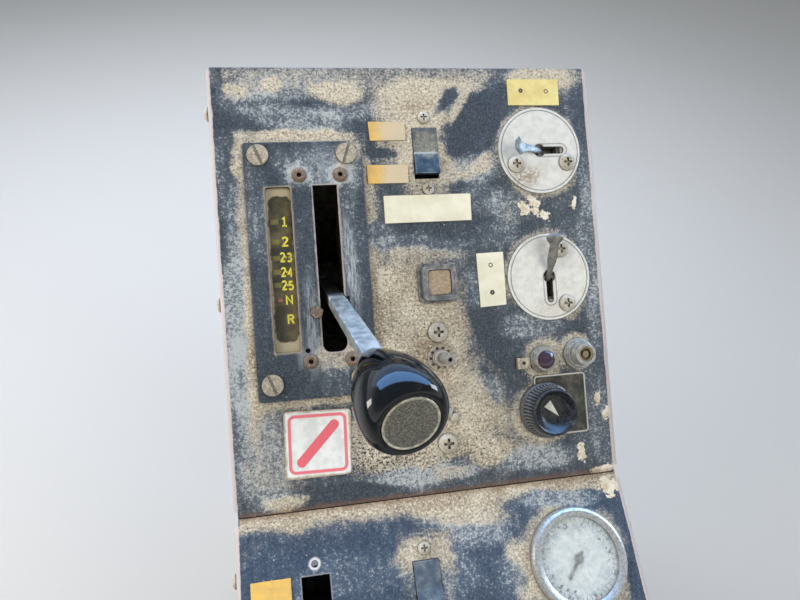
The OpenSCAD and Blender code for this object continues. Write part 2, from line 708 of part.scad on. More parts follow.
// Switch behind the cover: a strap with the two screws and an open-topped case
module switch_body() {
    strap_l = switch_pitch + 9;
    color("#1a1c1f") translate([0, 0, -cover_t]) difference() {
        union() {
            translate([-switch_w / 2, -strap_l / 2, -1.6]) cube([switch_w, strap_l, 1.6]);
            translate([-switch_w / 2 - 1.6, -switch_l / 2 - 1.6, -switch_body_t])
                cube([switch_w + 3.2, switch_l + 3.2, switch_body_t]);
        }
        translate([-switch_w / 2, -switch_l / 2, -switch_body_t + 8])
            cube([switch_w, switch_l, switch_body_t]);
        for (side = [-1, 1])
            translate([0, side * switch_pitch / 2, -3]) cylinder(d = switch_screw_d, h = 4);
    }
    color("#1a1c1f") translate([-switch_w / 2 - 1, 0, rocker_pivot_h]) rotate([0, 90, 0])
        cylinder(d = rocker_pin_d, h = switch_w + 2);
}

// Rocker whose two faces meet at a shallow angle; it tips by throw / 2 each way
module rocker(tip) {
    w = switch_w - 2 * rocker_gap;
    l = switch_l - 2 * rocker_gap - 1.8;
    color(black_plastic) translate([0, 0, rocker_pivot_h]) rotate([tip, 0, 0]) difference() {
        translate([-w / 2, 0, 0]) rotate([90, 0, 90]) linear_extrude(w) polygon([
            [-l / 2, -rocker_pivot_h + 3.2], [0, -rocker_pivot_h + 1],
            [l / 2, -rocker_pivot_h + 3.2], [l / 2 - 1, -rocker_pivot_h + 4 - 6.2],
            [4, -4.5], [-4, -4.5], [-l / 2 + 1, -rocker_pivot_h + 4 - 6.2]
        ]);
        translate([-w, 0, 0]) rotate([0, 90, 0]) cylinder(d = rocker_pin_d + 2 * running_c, h = 2 * w);
    }
}

module fast_idle_switch_body() upper_at(fast_idle_at[0], fast_idle_at[1]) switch_body();
module fast_idle_rocker() upper_at(fast_idle_at[0], fast_idle_at[1]) rocker(-rocker_throw / 2);
module lower_switch_body() lower_at(lower_switch_at[0], lower_switch_at[1]) switch_body();
module lower_rocker() lower_at(lower_switch_at[0], lower_switch_at[1]) rocker(-rocker_throw / 2);

module switch_screws() {
    color(zinc) {
        for (side = [-1, 1]) {
            upper_at(fast_idle_at[0], fast_idle_at[1] + side * switch_pitch / 2)
                pan_screw(7.6, 2.2, switch_screw_d, 8);
            lower_at(lower_switch_at[0], lower_switch_at[1] + side * switch_pitch / 2)
                pan_screw(7.6, 2.2, switch_screw_d, 8);
        }
    }
}

// Air valves
// In a valve's own frame the slot runs along +X and the lever lies over towards -X
valve_pivot_h = -1.5;
valve_hub_d = 6;
valve_pin_d = 2.4;
lever_bar_t = 2;
lever_bar_w = 4;
lever_arm_w = 6.4;
lever_knee = 5.2;
axle_lever_reach = 19.5;
brake_lever_reach = 22.5;
paddle_w = 11;
paddle_t = 4.4;
lever_tilt_up = 59;

module axle_valve_frame() upper_at(axle_valve_at[0], axle_valve_at[1]) children();
module brake_valve_frame() upper_at(brake_valve_at[0], brake_valve_at[1]) rotate([0, 0, -90]) children();

// Round plate with a fine ring cut just inside its edge
valve_ring_in = 1.5;
valve_ring_w = 0.6;
valve_ring_deep = 0.35;
module valve_plate(screws) {
    color("#c9c8c0") difference() {
        linear_extrude(valve_plate_t) difference() {
            circle(d = valve_plate_d, $fn = 96);
            circle(d = valve_hole_d);
            translate([0, -valve_slot_w / 2])
                square([valve_slot_reach - valve_slot_w / 2, valve_slot_w]);
            translate([valve_slot_reach - valve_slot_w / 2, 0]) circle(d = valve_slot_w);
            for (p = screws) translate([p[0], p[1]]) circle(d = valve_screw_d + 0.4);
        }
        translate([0, 0, valve_plate_t - valve_ring_deep]) linear_extrude(1) difference() {
            circle(d = valve_plate_d - 2 * valve_ring_in, $fn = 96);
            circle(d = valve_plate_d - 2 * valve_ring_in - 2 * valve_ring_w, $fn = 96);
        }
    }
}

// Valve behind the cover: a mounting flange, a barrel and two air ports
module valve_body(screws) {
    color("#8d8a82") translate([0, 0, -cover_t]) difference() {
        union() {
            translate([0, 0, -5]) linear_extrude(5) hull_flange(screws);
            translate([0, 0, -46]) cylinder(d = 30, h = 42);
            for (side = [-1, 1])
                translate([0, 0, -26]) rotate([side * 90, 0, 0]) cylinder(d = 12, h = 21);
        }
        // Well in which the lever's hub turns
        translate([-valve_slot_reach + 4, -valve_slot_w / 2 - 0.4, -7])
            cube([2 * (valve_slot_reach - 4), valve_slot_w + 0.8, 8]);
        for (p = screws) translate([p[0], p[1], -6]) cylinder(d = valve_screw_d, h = 8);
    }
    color("#8d8a82") translate([0, 0, valve_pivot_h]) {
        rotate([90, 0, 0]) cylinder(d = valve_pin_d, h = valve_slot_w + 4, center = true);
        for (side = [-1, 1])
            translate([-3, side > 0 ? valve_slot_w / 2 + 0.4 : -valve_slot_w / 2 - 2.4, -cover_t])
                cube([6, 2, cover_t + 1.2]);
    }
}

// Outline of the valve's flange: its barrel and an ear round each screw
module hull_flange(screws) {
    circle(d = 34);
    for (p = screws) hull() {
        circle(d = 16);
        translate([p[0], p[1]]) circle(d = 11);
    }
}

// Flat toggle: a hub on its pin, a short shank, and a longer arm with a rounded paddle
module valve_lever(reach) {
    color("#97a3b0") translate([0, 0, valve_pivot_h]) rotate([0, -valve_tilt, 0]) difference() {
        union() {
            rotate([90, 0, 0]) cylinder(d = valve_hub_d, h = lever_bar_w, center = true);
            translate([-lever_bar_t / 2, -lever_bar_w / 2, 0]) cube([lever_bar_t, lever_bar_w, lever_knee]);
            translate([0, 0, lever_knee]) rotate([90, 0, 0])
                cylinder(d = lever_bar_t, h = lever_bar_w, center = true);
            translate([0, 0, lever_knee]) rotate([0, valve_tilt - lever_tilt_up, 0]) {
                translate([-lever_bar_t / 2, -lever_arm_w / 2, 1])
                    cube([lever_bar_t, lever_arm_w, reach - 1]);
                translate([-lever_bar_t / 2, -lever_bar_w / 2, 0])
                    cube([lever_bar_t, lever_bar_w, 2]);
                translate([0, 0, reach]) rotate([90, 0, 0])
                    cylinder(d = paddle_t, h = paddle_w, center = true);
            }
        }
        rotate([90, 0, 0])
            cylinder(d = valve_pin_d + 2 * running_c, h = 2 * lever_bar_w, center = true);
    }
}

module axle_valve_plate() axle_valve_frame() valve_plate(axle_screw_at);
module axle_valve_body() axle_valve_frame() valve_body(axle_screw_at);
module axle_valve_lever() axle_valve_frame() valve_lever(axle_lever_reach);
module brake_valve_plate() brake_valve_frame() valve_plate(brake_screw_at);
module brake_valve_body() brake_valve_frame() valve_body(brake_screw_at);
module brake_valve_lever() brake_valve_frame() valve_lever(brake_lever_reach);

valve_screw_head_d = 10.9;
valve_screw_h = 2.6;
valve_screw_l = 8;
module valve_screws() {
    color(zinc) {
        for (p = axle_screw_at)
            axle_valve_frame() translate([p[0], p[1], valve_plate_t])
                pan_screw(valve_screw_head_d, valve_screw_h, valve_screw_d, valve_screw_l);
        for (p = brake_screw_at)
            brake_valve_frame() translate([p[0], p[1], valve_plate_t])
                pan_screw(valve_screw_head_d, valve_screw_h, valve_screw_d, valve_screw_l);
    }
}

// Lamps
lamp_base_t = 2.4;
lamp_face = [21, 22.4];
lens_w = 14.6;
lens_sink = 2.6;
module pilot_lamp_housing() {
    color("#2c2f33") upper_at(pilot_lamp_at[0], pilot_lamp_at[1]) difference() {
        union() {
            linear_extrude(lamp_base_t) round_rect(lamp_w, lamp_w, 4);
            linear_extrude(lamp_h) round_rect(lamp_face[0], lamp_face[1], 3.4);
            translate([0, 0, -cover_t - 26]) linear_extrude(cover_t + 26 + eps)
                square(lamp_mouth_w - 2 * bush_gap, center = true);
        }
        translate([0, 0, lamp_h - lens_sink]) linear_extrude(lamp_h)
            round_rect(lens_w + 0.8, lens_w + 1.6, 2.4);
    }
}

module pilot_lamp_lens() {
    color("#b08a5a") upper_at(pilot_lamp_at[0], pilot_lamp_at[1], lamp_h - lens_sink)
        linear_extrude(1.4) round_rect(lens_w, lens_w + 0.8, 2);
}

washer_t = 0.8;
washer_d = 17.2;
washer_teeth_in = 2.2;
dimmer_nut_d = 10.8;
dimmer_pot_d = 24;
dimmer_bush_h = 8;
shaft_d = spindle_d - 0.35;
module dimmer_body() {
    color(bare_steel) upper_at(dimmer_at[0], dimmer_at[1]) difference() {
        union() {
            translate([0, 0, -cover_t]) cylinder(d = dimmer_bush_d, h = cover_t + dimmer_bush_h);
            translate([0, 0, washer_t]) cylinder(d = dimmer_nut_d, h = 2.4);
            translate([0, 0, -cover_t - 16]) cylinder(d = dimmer_pot_d, h = 16);
        }
        translate([0, 0, -cover_t - 10]) cylinder(d = shaft_d + 2 * running_c, h = 40);
    }
}

// Lock washer whose outer edge is a ring of teeth
module dimmer_washer() {
    teeth = 10;
    color("#7d7668") upper_at(dimmer_at[0], dimmer_at[1]) linear_extrude(washer_t) difference() {
        circle(d = washer_d);
        circle(d = dimmer_bush_d + 2 * bush_gap);
        for (i = [0:teeth - 1]) rotate(i * 360 / teeth)
            translate([washer_d / 2 - washer_teeth_in, 0]) square(1.7, center = true);
    }
}

module dimmer_spindle() {
    color(zinc) upper_at(dimmer_at[0], dimmer_at[1]) difference() {
        union() {
            translate([0, 0, -cover_t - 9.5]) cylinder(d = shaft_d, h = cover_t + 9.5 + spindle_h);
            translate([0, 0, dimmer_bush_h + 0.5])
                cylinder(d = spindle_d, h = spindle_h - dimmer_bush_h - 0.5);
        }
        translate([0, 0, spindle_h - 5]) cylinder(d = 2.8, h = 6);
    }
}

module push_lamp_body() {
    color("#aeb0ae") upper_at(push_lamp_at[0], push_lamp_at[1]) difference() {
        union() {
            translate([0, 0, -cover_t - 22]) cylinder(d = push_lamp_bush_d, h = cover_t + 22 + eps);
            cylinder(d = 17.6, h = 2);
            translate([0, 0, 2]) cylinder(d1 = 16.6, d2 = 14.4, h = 4.5);
            translate([0, 0, -cover_t - 20]) cylinder(d = 20, h = 16);
        }
        translate([0, 0, 1]) cylinder(d = 11.6, h = 8);
    }
}

module push_lamp_jewel() {
    color("#6b2630") upper_at(push_lamp_at[0], push_lamp_at[1], 1) {
        cylinder(d = 11, h = 6);
        translate([0, 0, 6]) intersection() {
            translate([0, 0, -7.2]) sphere(d = 18);
            cylinder(d = 11, h = 6);
        }
    }
}

// Small lug of the lamp's shroud beside its bezel
module push_lamp_bracket() {
    color("#8e8878") upper_at(push_lamp_at[0] - 8.8, push_lamp_at[1] - 1.5) difference() {
        union() {
            translate([-9.5, -3.6, 0]) cube([9.5, 7.2, 1.2]);
            translate([-9.5, -3.6, 0]) cube([1.4, 7.2, 3.4]);
        }
        translate([-4.6, 0, -1]) cylinder(d = 2.4, h = 4);
    }
}

lock_h = 12;
module key_lock_body() {
    color("#a9a8a2") upper_at(key_lock_at[0], key_lock_at[1]) difference() {
        union() {
            translate([0, 0, -cover_t - 18]) cylinder(d = lock_bush_d, h = cover_t + 18 + eps);
            cylinder(d = 20.4, h = 2.4);
            translate([0, 0, 2.4]) cylinder(d1 = 19, d2 = 17.4, h = 3);
            translate([0, 0, 5.4]) cylinder(d1 = 15.2, d2 = 13.6, h = lock_h - 5.4);
            translate([0, 0, -cover_t - 4]) rotate([0, 0, 20]) cylinder(d = 27, h = 4, $fn = 6);
        }
        translate([0, 0, lock_h - 7]) cylinder(d = 10, h = 8);
    }
}

// Core of the lock: the ring of the keyway and its post
module key_lock_core() {
    color("#5d5a52") upper_at(key_lock_at[0], key_lock_at[1], lock_h - 7) {
        cylinder(d = 10, h = 4);
        difference() {
            cylinder(d = 10, h = 6.6);
            translate([0, 0, -1]) cylinder(d = 7.6, h = 9);
        }
        cylinder(d = 4.2, h = 6.4);
    }
}

rotary_shaft_d = 6.35;
rotary_shaft_h = 8;
module rotary_control_body() {
    color("#3c3f42") upper_at(rotary_at[0], rotary_at[1]) {
        translate([0, 0, -cover_t]) cylinder(d = rotary_bush_d, h = cover_t + 2);
        translate([0, 0, -cover_t - 24]) cylinder(d = 30, h = 24);
        cylinder(d = rotary_shaft_d, h = rotary_shaft_h);
    }
}

flutes = 54;
rotary_side_d = rotary_d - 4;
rotary_rim_d = rotary_d - 6.6;
rotary_dish_d = rotary_rim_d - 2.4;
rotary_floor_d = 15;
rotary_dish_deep = 6;
rotary_side_h = rotary_h - 3.5;
module rotary_knob() {
    color(black_plastic) upper_at(rotary_at[0], rotary_at[1], label_t + 0.5) difference() {
        union() {
            cylinder(d = rotary_d, h = 3);
            translate([0, 0, 3]) cylinder(d1 = rotary_side_d, d2 = rotary_rim_d, h = rotary_side_h);
        }
        for (i = [0:flutes - 1])
            rotate([0, 0, i * 360 / flutes]) translate([rotary_side_d / 2 - 0.2, 0, 3.5])
                rotate([0, -6, 0])
                cylinder(d = 1.1, h = rotary_h, $fn = 6);
        translate([0, 0, 3 + rotary_side_h - rotary_dish_deep])
            cylinder(d1 = rotary_floor_d, d2 = rotary_dish_d, h = rotary_dish_deep + eps);
        translate([0, 0, -1]) cylinder(d = rotary_bush_d + 1, h = 3);
        translate([0, 0, -1]) cylinder(d = rotary_shaft_d + 2 * running_c, h = rotary_shaft_h + 0.5);
    }
}

label_t = 0.8;
rotary_label = [36, 39.4];
label_off = [10.9, 2.6];
module rotary_label_plate() {
    color("#202329") upper_at(rotary_at[0] + label_off[0], rotary_at[1] + label_off[1]) difference() {
        linear_extrude(label_t) round_rect(rotary_label[0], rotary_label[1], 1);
        translate([-label_off[0], -label_off[1], -1]) cylinder(d = rotary_bush_d + 1, h = 3);
    }
}

// Gauge
gauge_case_l = 40;
bezel_h = 6;
gauge_face_d = gauge_d - 10.4;
dial_h = 0.4;
dial_t = 1;
module gauge_case() {
    color("#bfc3c2") lower_at(gauge_at[0], gauge_at[1]) rotate_extrude($fn = 96) polygon([
        [0, -cover_t - gauge_case_l], [gauge_case_d / 2, -cover_t - gauge_case_l],
        [gauge_case_d / 2, 0], [gauge_d / 2, 0], [gauge_d / 2, bezel_h - 2.4],
        [gauge_d / 2 - 1, bezel_h - 0.8], [gauge_d / 2 - 2.6, bezel_h],
        [gauge_d / 2 - 4.2, bezel_h - 0.6], [gauge_face_d / 2 - 0.6, bezel_h - 1.4],
        [gauge_face_d / 2 - 0.6, bezel_h - 2], [gauge_face_d / 2 + 0.1, bezel_h - 2],
        [gauge_face_d / 2 + 0.1, dial_h], [0, dial_h]
    ]);
}

module gauge_dial() {
    color("#d8dcd8") lower_at(gauge_at[0], gauge_at[1], dial_h)
        cylinder(d = gauge_face_d, h = dial_t, $fn = 96);
}

module gauge_pointer() {
    color("#22262b") lower_at(gauge_at[0], gauge_at[1], dial_h + dial_t) {
        cylinder(d = 5, h = 1.2);
        rotate([0, 0, 140]) translate([-0.5, -5, 0.4]) cube([1, 19, 0.5]);
    }
}

module gauge_glass() {
    color("#dfe8ea", 0.35) lower_at(gauge_at[0], gauge_at[1], bezel_h - 3.2)
        cylinder(d = gauge_face_d, h = 1.2, $fn = 96);
}

// Labels and loose screws
// Labels on the upper cover: [left end, right end, s of the middle, height, colour]
upper_labels = [
    [plate_edge + 5.4, fast_idle_at[0] - 12.9, fast_idle_at[1] + 15, 12.6, "#c9a24a"],
    [plate_edge + 2.9, fast_idle_at[0] - 12.7, fast_idle_at[1] - 12.8, 12, "#c9a24a"],
    [plate_edge + 12.2, 36, fast_idle_at[1] - 35.6, 17.2, "#d9d5c2"],
    [axle_valve_at[0] - 19, axle_valve_at[0] + 17, upper_len - 16, 17.5, "#cfae5c"],
    [brake_valve_at[0] - 48.5, brake_valve_at[0] - 30.5, brake_valve_at[1] + 0.9, 34.9, "#e0d9b8"]
];
stop_label = [blank_switch_at[0] - 25.8, blank_switch_at[1] - 10.9, 23.3, 13];

module label_plates() {
    for (l = upper_labels)
        color(l[4]) upper_at((l[0] + l[1]) / 2, l[2]) linear_extrude(label_t)
            round_rect(l[1] - l[0], l[3], 0.4);
    color("#c9a24a") lower_at(stop_label[0], stop_label[1]) linear_extrude(label_t)
        round_rect(stop_label[2], stop_label[3], 0.4);
}

panel_screw_head_d = 12.4;
panel_screw_h = 3.4;
panel_screw_l = 12;
module panel_screws() {
    color(zinc) for (p = panel_screw_at) upper_at(p[0], p[1])
        pan_screw(panel_screw_head_d, panel_screw_h, panel_screw_d, panel_screw_l);
}

side_wall_left();
side_wall_right();
end_wall();
seam_rail();
dash_rail();
upper_cover();
lower_cover();
cover_screws();
selector_plate();
selector_housing();
selector_quadrant();
selector_pivot_pin();
selector_index_strip();
selector_plate_screws();
selector_rivets();
selector_stop_bolt();
selector_lever();
selector_knob();
knob_medallion();
fast_idle_switch_body();
fast_idle_rocker();
lower_switch_body();
lower_rocker();
switch_screws();
axle_valve_plate();
axle_valve_body();
axle_valve_lever();
brake_valve_plate();
brake_valve_body();
brake_valve_lever();
valve_screws();
pilot_lamp_housing();
pilot_lamp_lens();
dimmer_body();
dimmer_washer();
dimmer_spindle();
push_lamp_body();
push_lamp_jewel();
push_lamp_bracket();
key_lock_body();
key_lock_core();
rotary_control_body();
rotary_knob();
rotary_label_plate();
gauge_case();
gauge_dial();
gauge_pointer();
gauge_glass();
label_plates();
panel_screws();
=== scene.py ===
"""Looks of the fire truck cab's centre control console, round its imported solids.

Lengths are in millimetres and places are in a cover's own frame until they reach a mesh: x to
the right, s up the slope from the seam between the two covers, h out of the cover. Each piece
ends up in the row frame, in metres.
"""
import math

import bpy
import numpy as np
from mathutils import Matrix, Vector


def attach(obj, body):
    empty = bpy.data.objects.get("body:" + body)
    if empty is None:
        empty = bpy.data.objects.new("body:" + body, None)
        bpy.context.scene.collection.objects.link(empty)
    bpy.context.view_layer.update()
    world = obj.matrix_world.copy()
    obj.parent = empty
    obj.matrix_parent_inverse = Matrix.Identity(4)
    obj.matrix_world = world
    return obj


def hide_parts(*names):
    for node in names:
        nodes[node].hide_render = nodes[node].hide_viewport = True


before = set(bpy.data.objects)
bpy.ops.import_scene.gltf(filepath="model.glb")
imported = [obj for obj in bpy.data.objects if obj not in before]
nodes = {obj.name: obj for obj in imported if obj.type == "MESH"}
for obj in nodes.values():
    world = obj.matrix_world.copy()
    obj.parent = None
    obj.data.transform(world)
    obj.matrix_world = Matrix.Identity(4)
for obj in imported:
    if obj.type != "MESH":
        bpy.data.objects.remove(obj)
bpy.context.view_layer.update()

# Frames of the two covers
MM = 0.001
SEAM = (0.0, 3.8826 * MM, 405 * MM)
UPPER_SLOPE = math.radians(40)
LOWER_SLOPE = math.radians(20)
HALF_WIDTH = 124.9

# Places on the covers, as (x, s); on the lower cover s is below zero
PLATE_AT = (-69.6, 146)
SLOT_AT = (-57.9, 146)
SLOT_SIZE = (15.2, 103)
WINDOW_AT = (-86.7, 146.5)
WINDOW_SIZE = (15.5, 101)
FAST_IDLE_AT = (8.3, 216.6)
AXLE_VALVE_AT = (86, 216.6)
BRAKE_VALVE_AT = (85.8, 132.4)
VALVE_R = 28.6
DIMMER_AT = (8.2, 85.1)
PUSH_LAMP_AT = (76.9, 78.5)
KEY_LOCK_AT = (102.1, 80.2)
ROTARY_AT = (76.6, 45.6)
RIBS = 44
LOWER_SWITCH_AT = (-13.6, -53.4)
BLANK_SWITCH_AT = (-79.7, -53.4)
SWITCH_SIZE = (16.4, 33)
SWITCH_PITCH = 46
GAUGE_AT = (83, -49.5)
GAUGE_R = 31
DIAL_TICKS = 48

# The range lever's raked arm and its knob
BEND_AT = (-55.8, 125.2, 6.5)
ARM_RAKE = math.radians(28.8)
ARM_LEAN = math.radians(9.1)
ARM_LEN = 71
KNOB_LEN = 54
KNOB_R = 21.8
KNOB_NECK_R = 8
MEDALLION_R = 14
KNOB_STEPS = 96


def turn_x(angle):
    """Matrix of a turn about X."""
    c, n = math.cos(angle), math.sin(angle)
    return np.array([[1, 0, 0], [0, c, -n], [0, n, c]])


def turn_y(angle):
    """Matrix of a turn about Y."""
    c, n = math.cos(angle), math.sin(angle)
    return np.array([[c, 0, n], [0, 1, 0], [-n, 0, c]])


def to_row(points, slope=UPPER_SLOPE):
    """Points (..., 3) of a cover's frame in mm as points of the row in metres: turned about X by
    the cover's slope, then moved to the seam."""
    return np.asarray(points, float) * MM @ turn_x(slope).T + np.array(SEAM)


def from_arm(points):
    """Points (..., 3) of the arm's frame, z up the arm from its bend, in the cover's frame."""
    arm = turn_x(ARM_RAKE) @ turn_y(ARM_LEAN)
    return np.asarray(points, float) @ arm.T + np.array(BEND_AT)


# Shader nodes


def linear(hexa):
    """An sRGB hex colour as the linear RGBA that a shader socket takes."""
    values = [int(hexa[i:i + 2], 16) / 255 for i in (1, 3, 5)]
    return (*(v / 12.92 if v <= 0.04045 else ((v + 0.055) / 1.055) ** 2.4 for v in values), 1.0)


def start_tree(owner):
    """Clear the node tree of a material or the world, and take it in hand for coming nodes."""
    global tree
    owner.use_nodes = True
    tree = owner.node_tree
    tree.nodes.clear()


def node(kind, feeds=(), out=0, **settings):
    """Add one node to the tree in hand and give one of its outputs. Feeds are its inputs in order,
    or a dict of input name or number to a socket, number, vector or hex colour."""
    made = tree.nodes.new("ShaderNode" + kind)
    for name, value in settings.items():
        setattr(made, name, value)
    for key, value in (feeds if isinstance(feeds, dict) else dict(enumerate(feeds))).items():
        if isinstance(value, bpy.types.NodeSocket):
            tree.links.new(value, made.inputs[key])
        else:
            made.inputs[key].default_value = linear(value) if isinstance(value, str) else value
    return made.outputs[out] if made.outputs else made


# Settings that many nodes share: a smooth step from 0 to 1, and a mix of two colours
STEP = {"interpolation_type": "SMOOTHSTEP"}
TINTS = {"data_type": "RGBA", "out": 2}


def finish(pattern):
    """Makes a finish of a pattern, a function that adds nodes and gives what feeds a Principled
    shader, by input name. The finish takes a material's name before the pattern's own arguments,
    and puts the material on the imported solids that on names."""

    def made_finish(name, *args, on="", **settings):
        material = bpy.data.materials.new(name)
        start_tree(material)
        node("OutputMaterial", (node("BsdfPrincipled", pattern(*args, **settings)),))
        for solid in on.split():
            nodes[solid].data.materials.clear()
            nodes[solid].data.materials.append(material)
        return material

    return made_finish


# Patterns made of several nodes


def in_frame(slope=UPPER_SLOPE):
    """Millimetres in a cover's own frame, from Object coordinates."""
    place = node("TexCoord", out="Object")
    return node("Mapping", (place, SEAM, (slope, 0, 0), (MM, MM, MM)), vector_type="TEXTURE")


def in_row():
    """Millimetres in the row's frame, from Object coordinates."""
    place = node("TexCoord", out="Object")
    return node("VectorMath", {0: place, "Scale": 1 / MM}, operation="SCALE")


def grain(at, size, detail=2.0, rough=0.55, stretch=(1, 1, 1), turn=0.0, out=0):
    """Noise about 0.5 whose blobs are about size mm across, stretched along chosen directions."""
    scale = tuple(1 / (size * f) for f in stretch)
    moved = node("Mapping", {0: at, 2: (0, 0, math.radians(turn)), 3: scale})
    feeds = {"Vector": moved, "Scale": 1.0, "Detail": detail, "Roughness": rough}
    return node("TexNoise", feeds, out=out)


def warped(at, *waves):
    """The place, pushed sideways by noise; each wave is (blob size, push) in mm."""
    for size, push in waves:
        wobble = grain(at, size, out="Color")
        centred = node("VectorMath", (wobble, (0.5, 0.5, 0.5)), operation="SUBTRACT")
        at = node("VectorMath", (centred, (push, push, push), at), operation="MULTIPLY_ADD")
    return at


def oval(at, x, s, rx, rs, turn=0.0, core=0.6, edge=1.4):
    """1 inside an ellipse, fading to 0 between core and edge times its size."""
    turned_by, size = (0, 0, math.radians(turn)), (rx * edge, rs * edge, 1e6)
    inside = node("Mapping", (at, (x, s, 0), turned_by, size), vector_type="TEXTURE")
    depth = node("TexGradient", (inside,), gradient_type="SPHERICAL", out=1)
    return node("MapRange", (depth, 0.0, 1 - core / edge), **STEP)


def outside(at, x, s, width, length):
    """Millimetres from a point to a rectangle, 0 inside it."""
    centred = node("VectorMath", (at, (x, s, 0)), operation="SUBTRACT")
    size = node("VectorMath", (centred,), operation="ABSOLUTE")
    past = node("VectorMath", (size, (width / 2, length / 2, 1e6)), operation="SUBTRACT")
    clipped = node("VectorMath", (past, (0, 0, 0)), operation="MAXIMUM")
    return node("VectorMath", (clipped,), operation="LENGTH", out="Value")


def block(at, x, s, width, length, reach):
    """1 inside a rectangle, fading to 0 at reach mm outside its edges."""
    return node("MapRange", (outside(at, x, s, width, length), reach, 0.0), **STEP)


def line_round(at, x, s, width, length, gap, half=0.35):
    """1 on a thin line that runs round a rectangle at a gap from it."""
    away = node("Math", (outside(at, x, s, width, length), gap), operation="SUBTRACT")
    away = node("Math", (away,), operation="ABSOLUTE")
    return node("MapRange", (away, half + 0.25, half), **STEP)


def disc(at, x, s, radius, reach):
    """1 inside a circle, fading to 0 at reach mm outside it."""
    full = radius + reach
    return oval(at, x, s, full, full, core=radius / full, edge=1.0)


def spokes(at, x, s, count):
    """A cosine of the angle about a middle, with count crests to the turn."""
    centred = node("Mapping", (at, (x, s, 0)), vector_type="TEXTURE")
    turn = node("TexGradient", (centred,), gradient_type="RADIAL", out=1)
    angle = node("Math", (turn, 2 * math.pi * count), operation="MULTIPLY")
    return node("Math", (angle,), operation="COSINE")


def total(base, *parts):
    """Base plus each part times its weight; parts are (weight, value)."""
    for weight, value in parts:
        base = node("Math", (value, weight, base), operation="MULTIPLY_ADD")
    return base


def layered(at, base, table):
    """Base plus each shape of a table times its weight. The table gives rows for each shape:
    weight, then place and size."""
    for shape, rows in table.items():
        for weight, *place in rows:
            base = total(base, (weight, shape(at, *place)))
    return base


def grains(at, size):
    """Three independent speckles of blobs about size mm across, each spread over 0 to 1."""
    cells = grain(at, size, 3, 0.75, out="Color")
    gain, drop = (2.7,) * 3, (-0.85,) * 3
    spread = node("VectorMath", (cells, gain, drop), operation="MULTIPLY_ADD")
    return node("SeparateXYZ", (spread,)).node.outputs[:3]


def tinted(colour, *coats):
    """A colour with coats laid over it; each coat is (mask, strength, colour), or (value, low,
    high, strength, colour) where the mask climbs smoothly as the value goes from low to high."""
    for *mask, strength, coat in coats:
        mask = node("MapRange", mask, **STEP) if len(mask) > 1 else mask[0]
        share = node("Math", (mask, strength), operation="MULTIPLY", use_clamp=True)
        colour = node("Mix", {0: share, 6: colour, 7: coat}, **TINTS)
    return colour


def rounded_normal(height, depth=0.3, radius=0.4):
    """Normal with edges rounded by radius mm and bumps of a height from 0 to 1, depth mm deep."""
    soft = node("Bevel", {"Radius": radius * MM}, samples=4)
    return node("Bump", {"Height": height, "Distance": depth * MM, "Normal": soft})


def edge_wear(radius=0.8):
    """0 on flats, up to 1 on outer edges: how far the rounded normal leans from the true one."""
    soft = node("Bevel", {"Radius": radius * MM}, samples=4)
    true = node("NewGeometry", out="Normal")
    facing = node("VectorMath", (soft, true), operation="DOT_PRODUCT", out="Value")
    return node("MapRange", (facing, 0.995, 0.85), **STEP)


def upward(low=0.1, high=0.8):
    """0 to 1 as a face turns from a rise of low to one of high; by default 1 where it looks up."""
    true = node("NewGeometry", out="Normal")
    rise = node("VectorMath", (true, (0, 0, 1)), operation="DOT_PRODUCT", out="Value")
    return node("MapRange", (rise, low, high), **STEP)


def crevice_shade(reach=1.6):
    """0 in the open and up to 1 in corners and slits narrower than reach mm, from ambient
    occlusion: the mask of the painted shade there.
    """
    openness = node("AmbientOcclusion", {"Distance": reach * MM}, out="AO", samples=6)
    return node("MapRange", (openness, 0.8, 0.42), **STEP)


def dust_tone(at, packed, size=1.6):
    """Cab dust: cream to tan in clouds, paler towards the top, browner where packed, with pale,
    dark and a few nearly black specks. They are drawn about 1 mm wide, many times their real
    size, so that they show from a step away."""
    cloud = grain(at, 17, 4, 0.6)
    pale, dark, _ = grains(at, size)
    up = node("MapRange", (node("SeparateXYZ", (at,), out=1), 150, 250, -0.02, 0.11))
    cloud = total(0, (1, cloud), (1, up))
    return tinted(DUST_TAN,
                  (cloud, 0.36, 0.62, 1, DUST_PALE),
                  (packed, 0.65, DUST_BROWN),
                  (node("MapRange", (pale, 0.5, 0.95)), 0.95, "#efe7d3"),
                  (node("MapRange", (pale, 0.5, 0.05)), 0.85, "#7b7364"),
                  (node("MapRange", (dark, 0.24, 0.08)), 0.85, "#45423e"))


# Painted sheet

# Cab dust, from its pale top to the brown that packs into corners; paint and its haze; primer;
# and bare folds
DUST_PALE = "#d6cdb8"
DUST_TAN = "#b1a58e"
DUST_BROWN = "#8f7558"
UPPER_PAINT = ("#333b44", "#606b77")
LOWER_PAINT = ("#324053", "#586a80")
DEEP = "#1c222a"
HAZE_GRAIN = "#c3cacc"
PRIMER = "#efeadb"
BARE = "#cfc6c4"


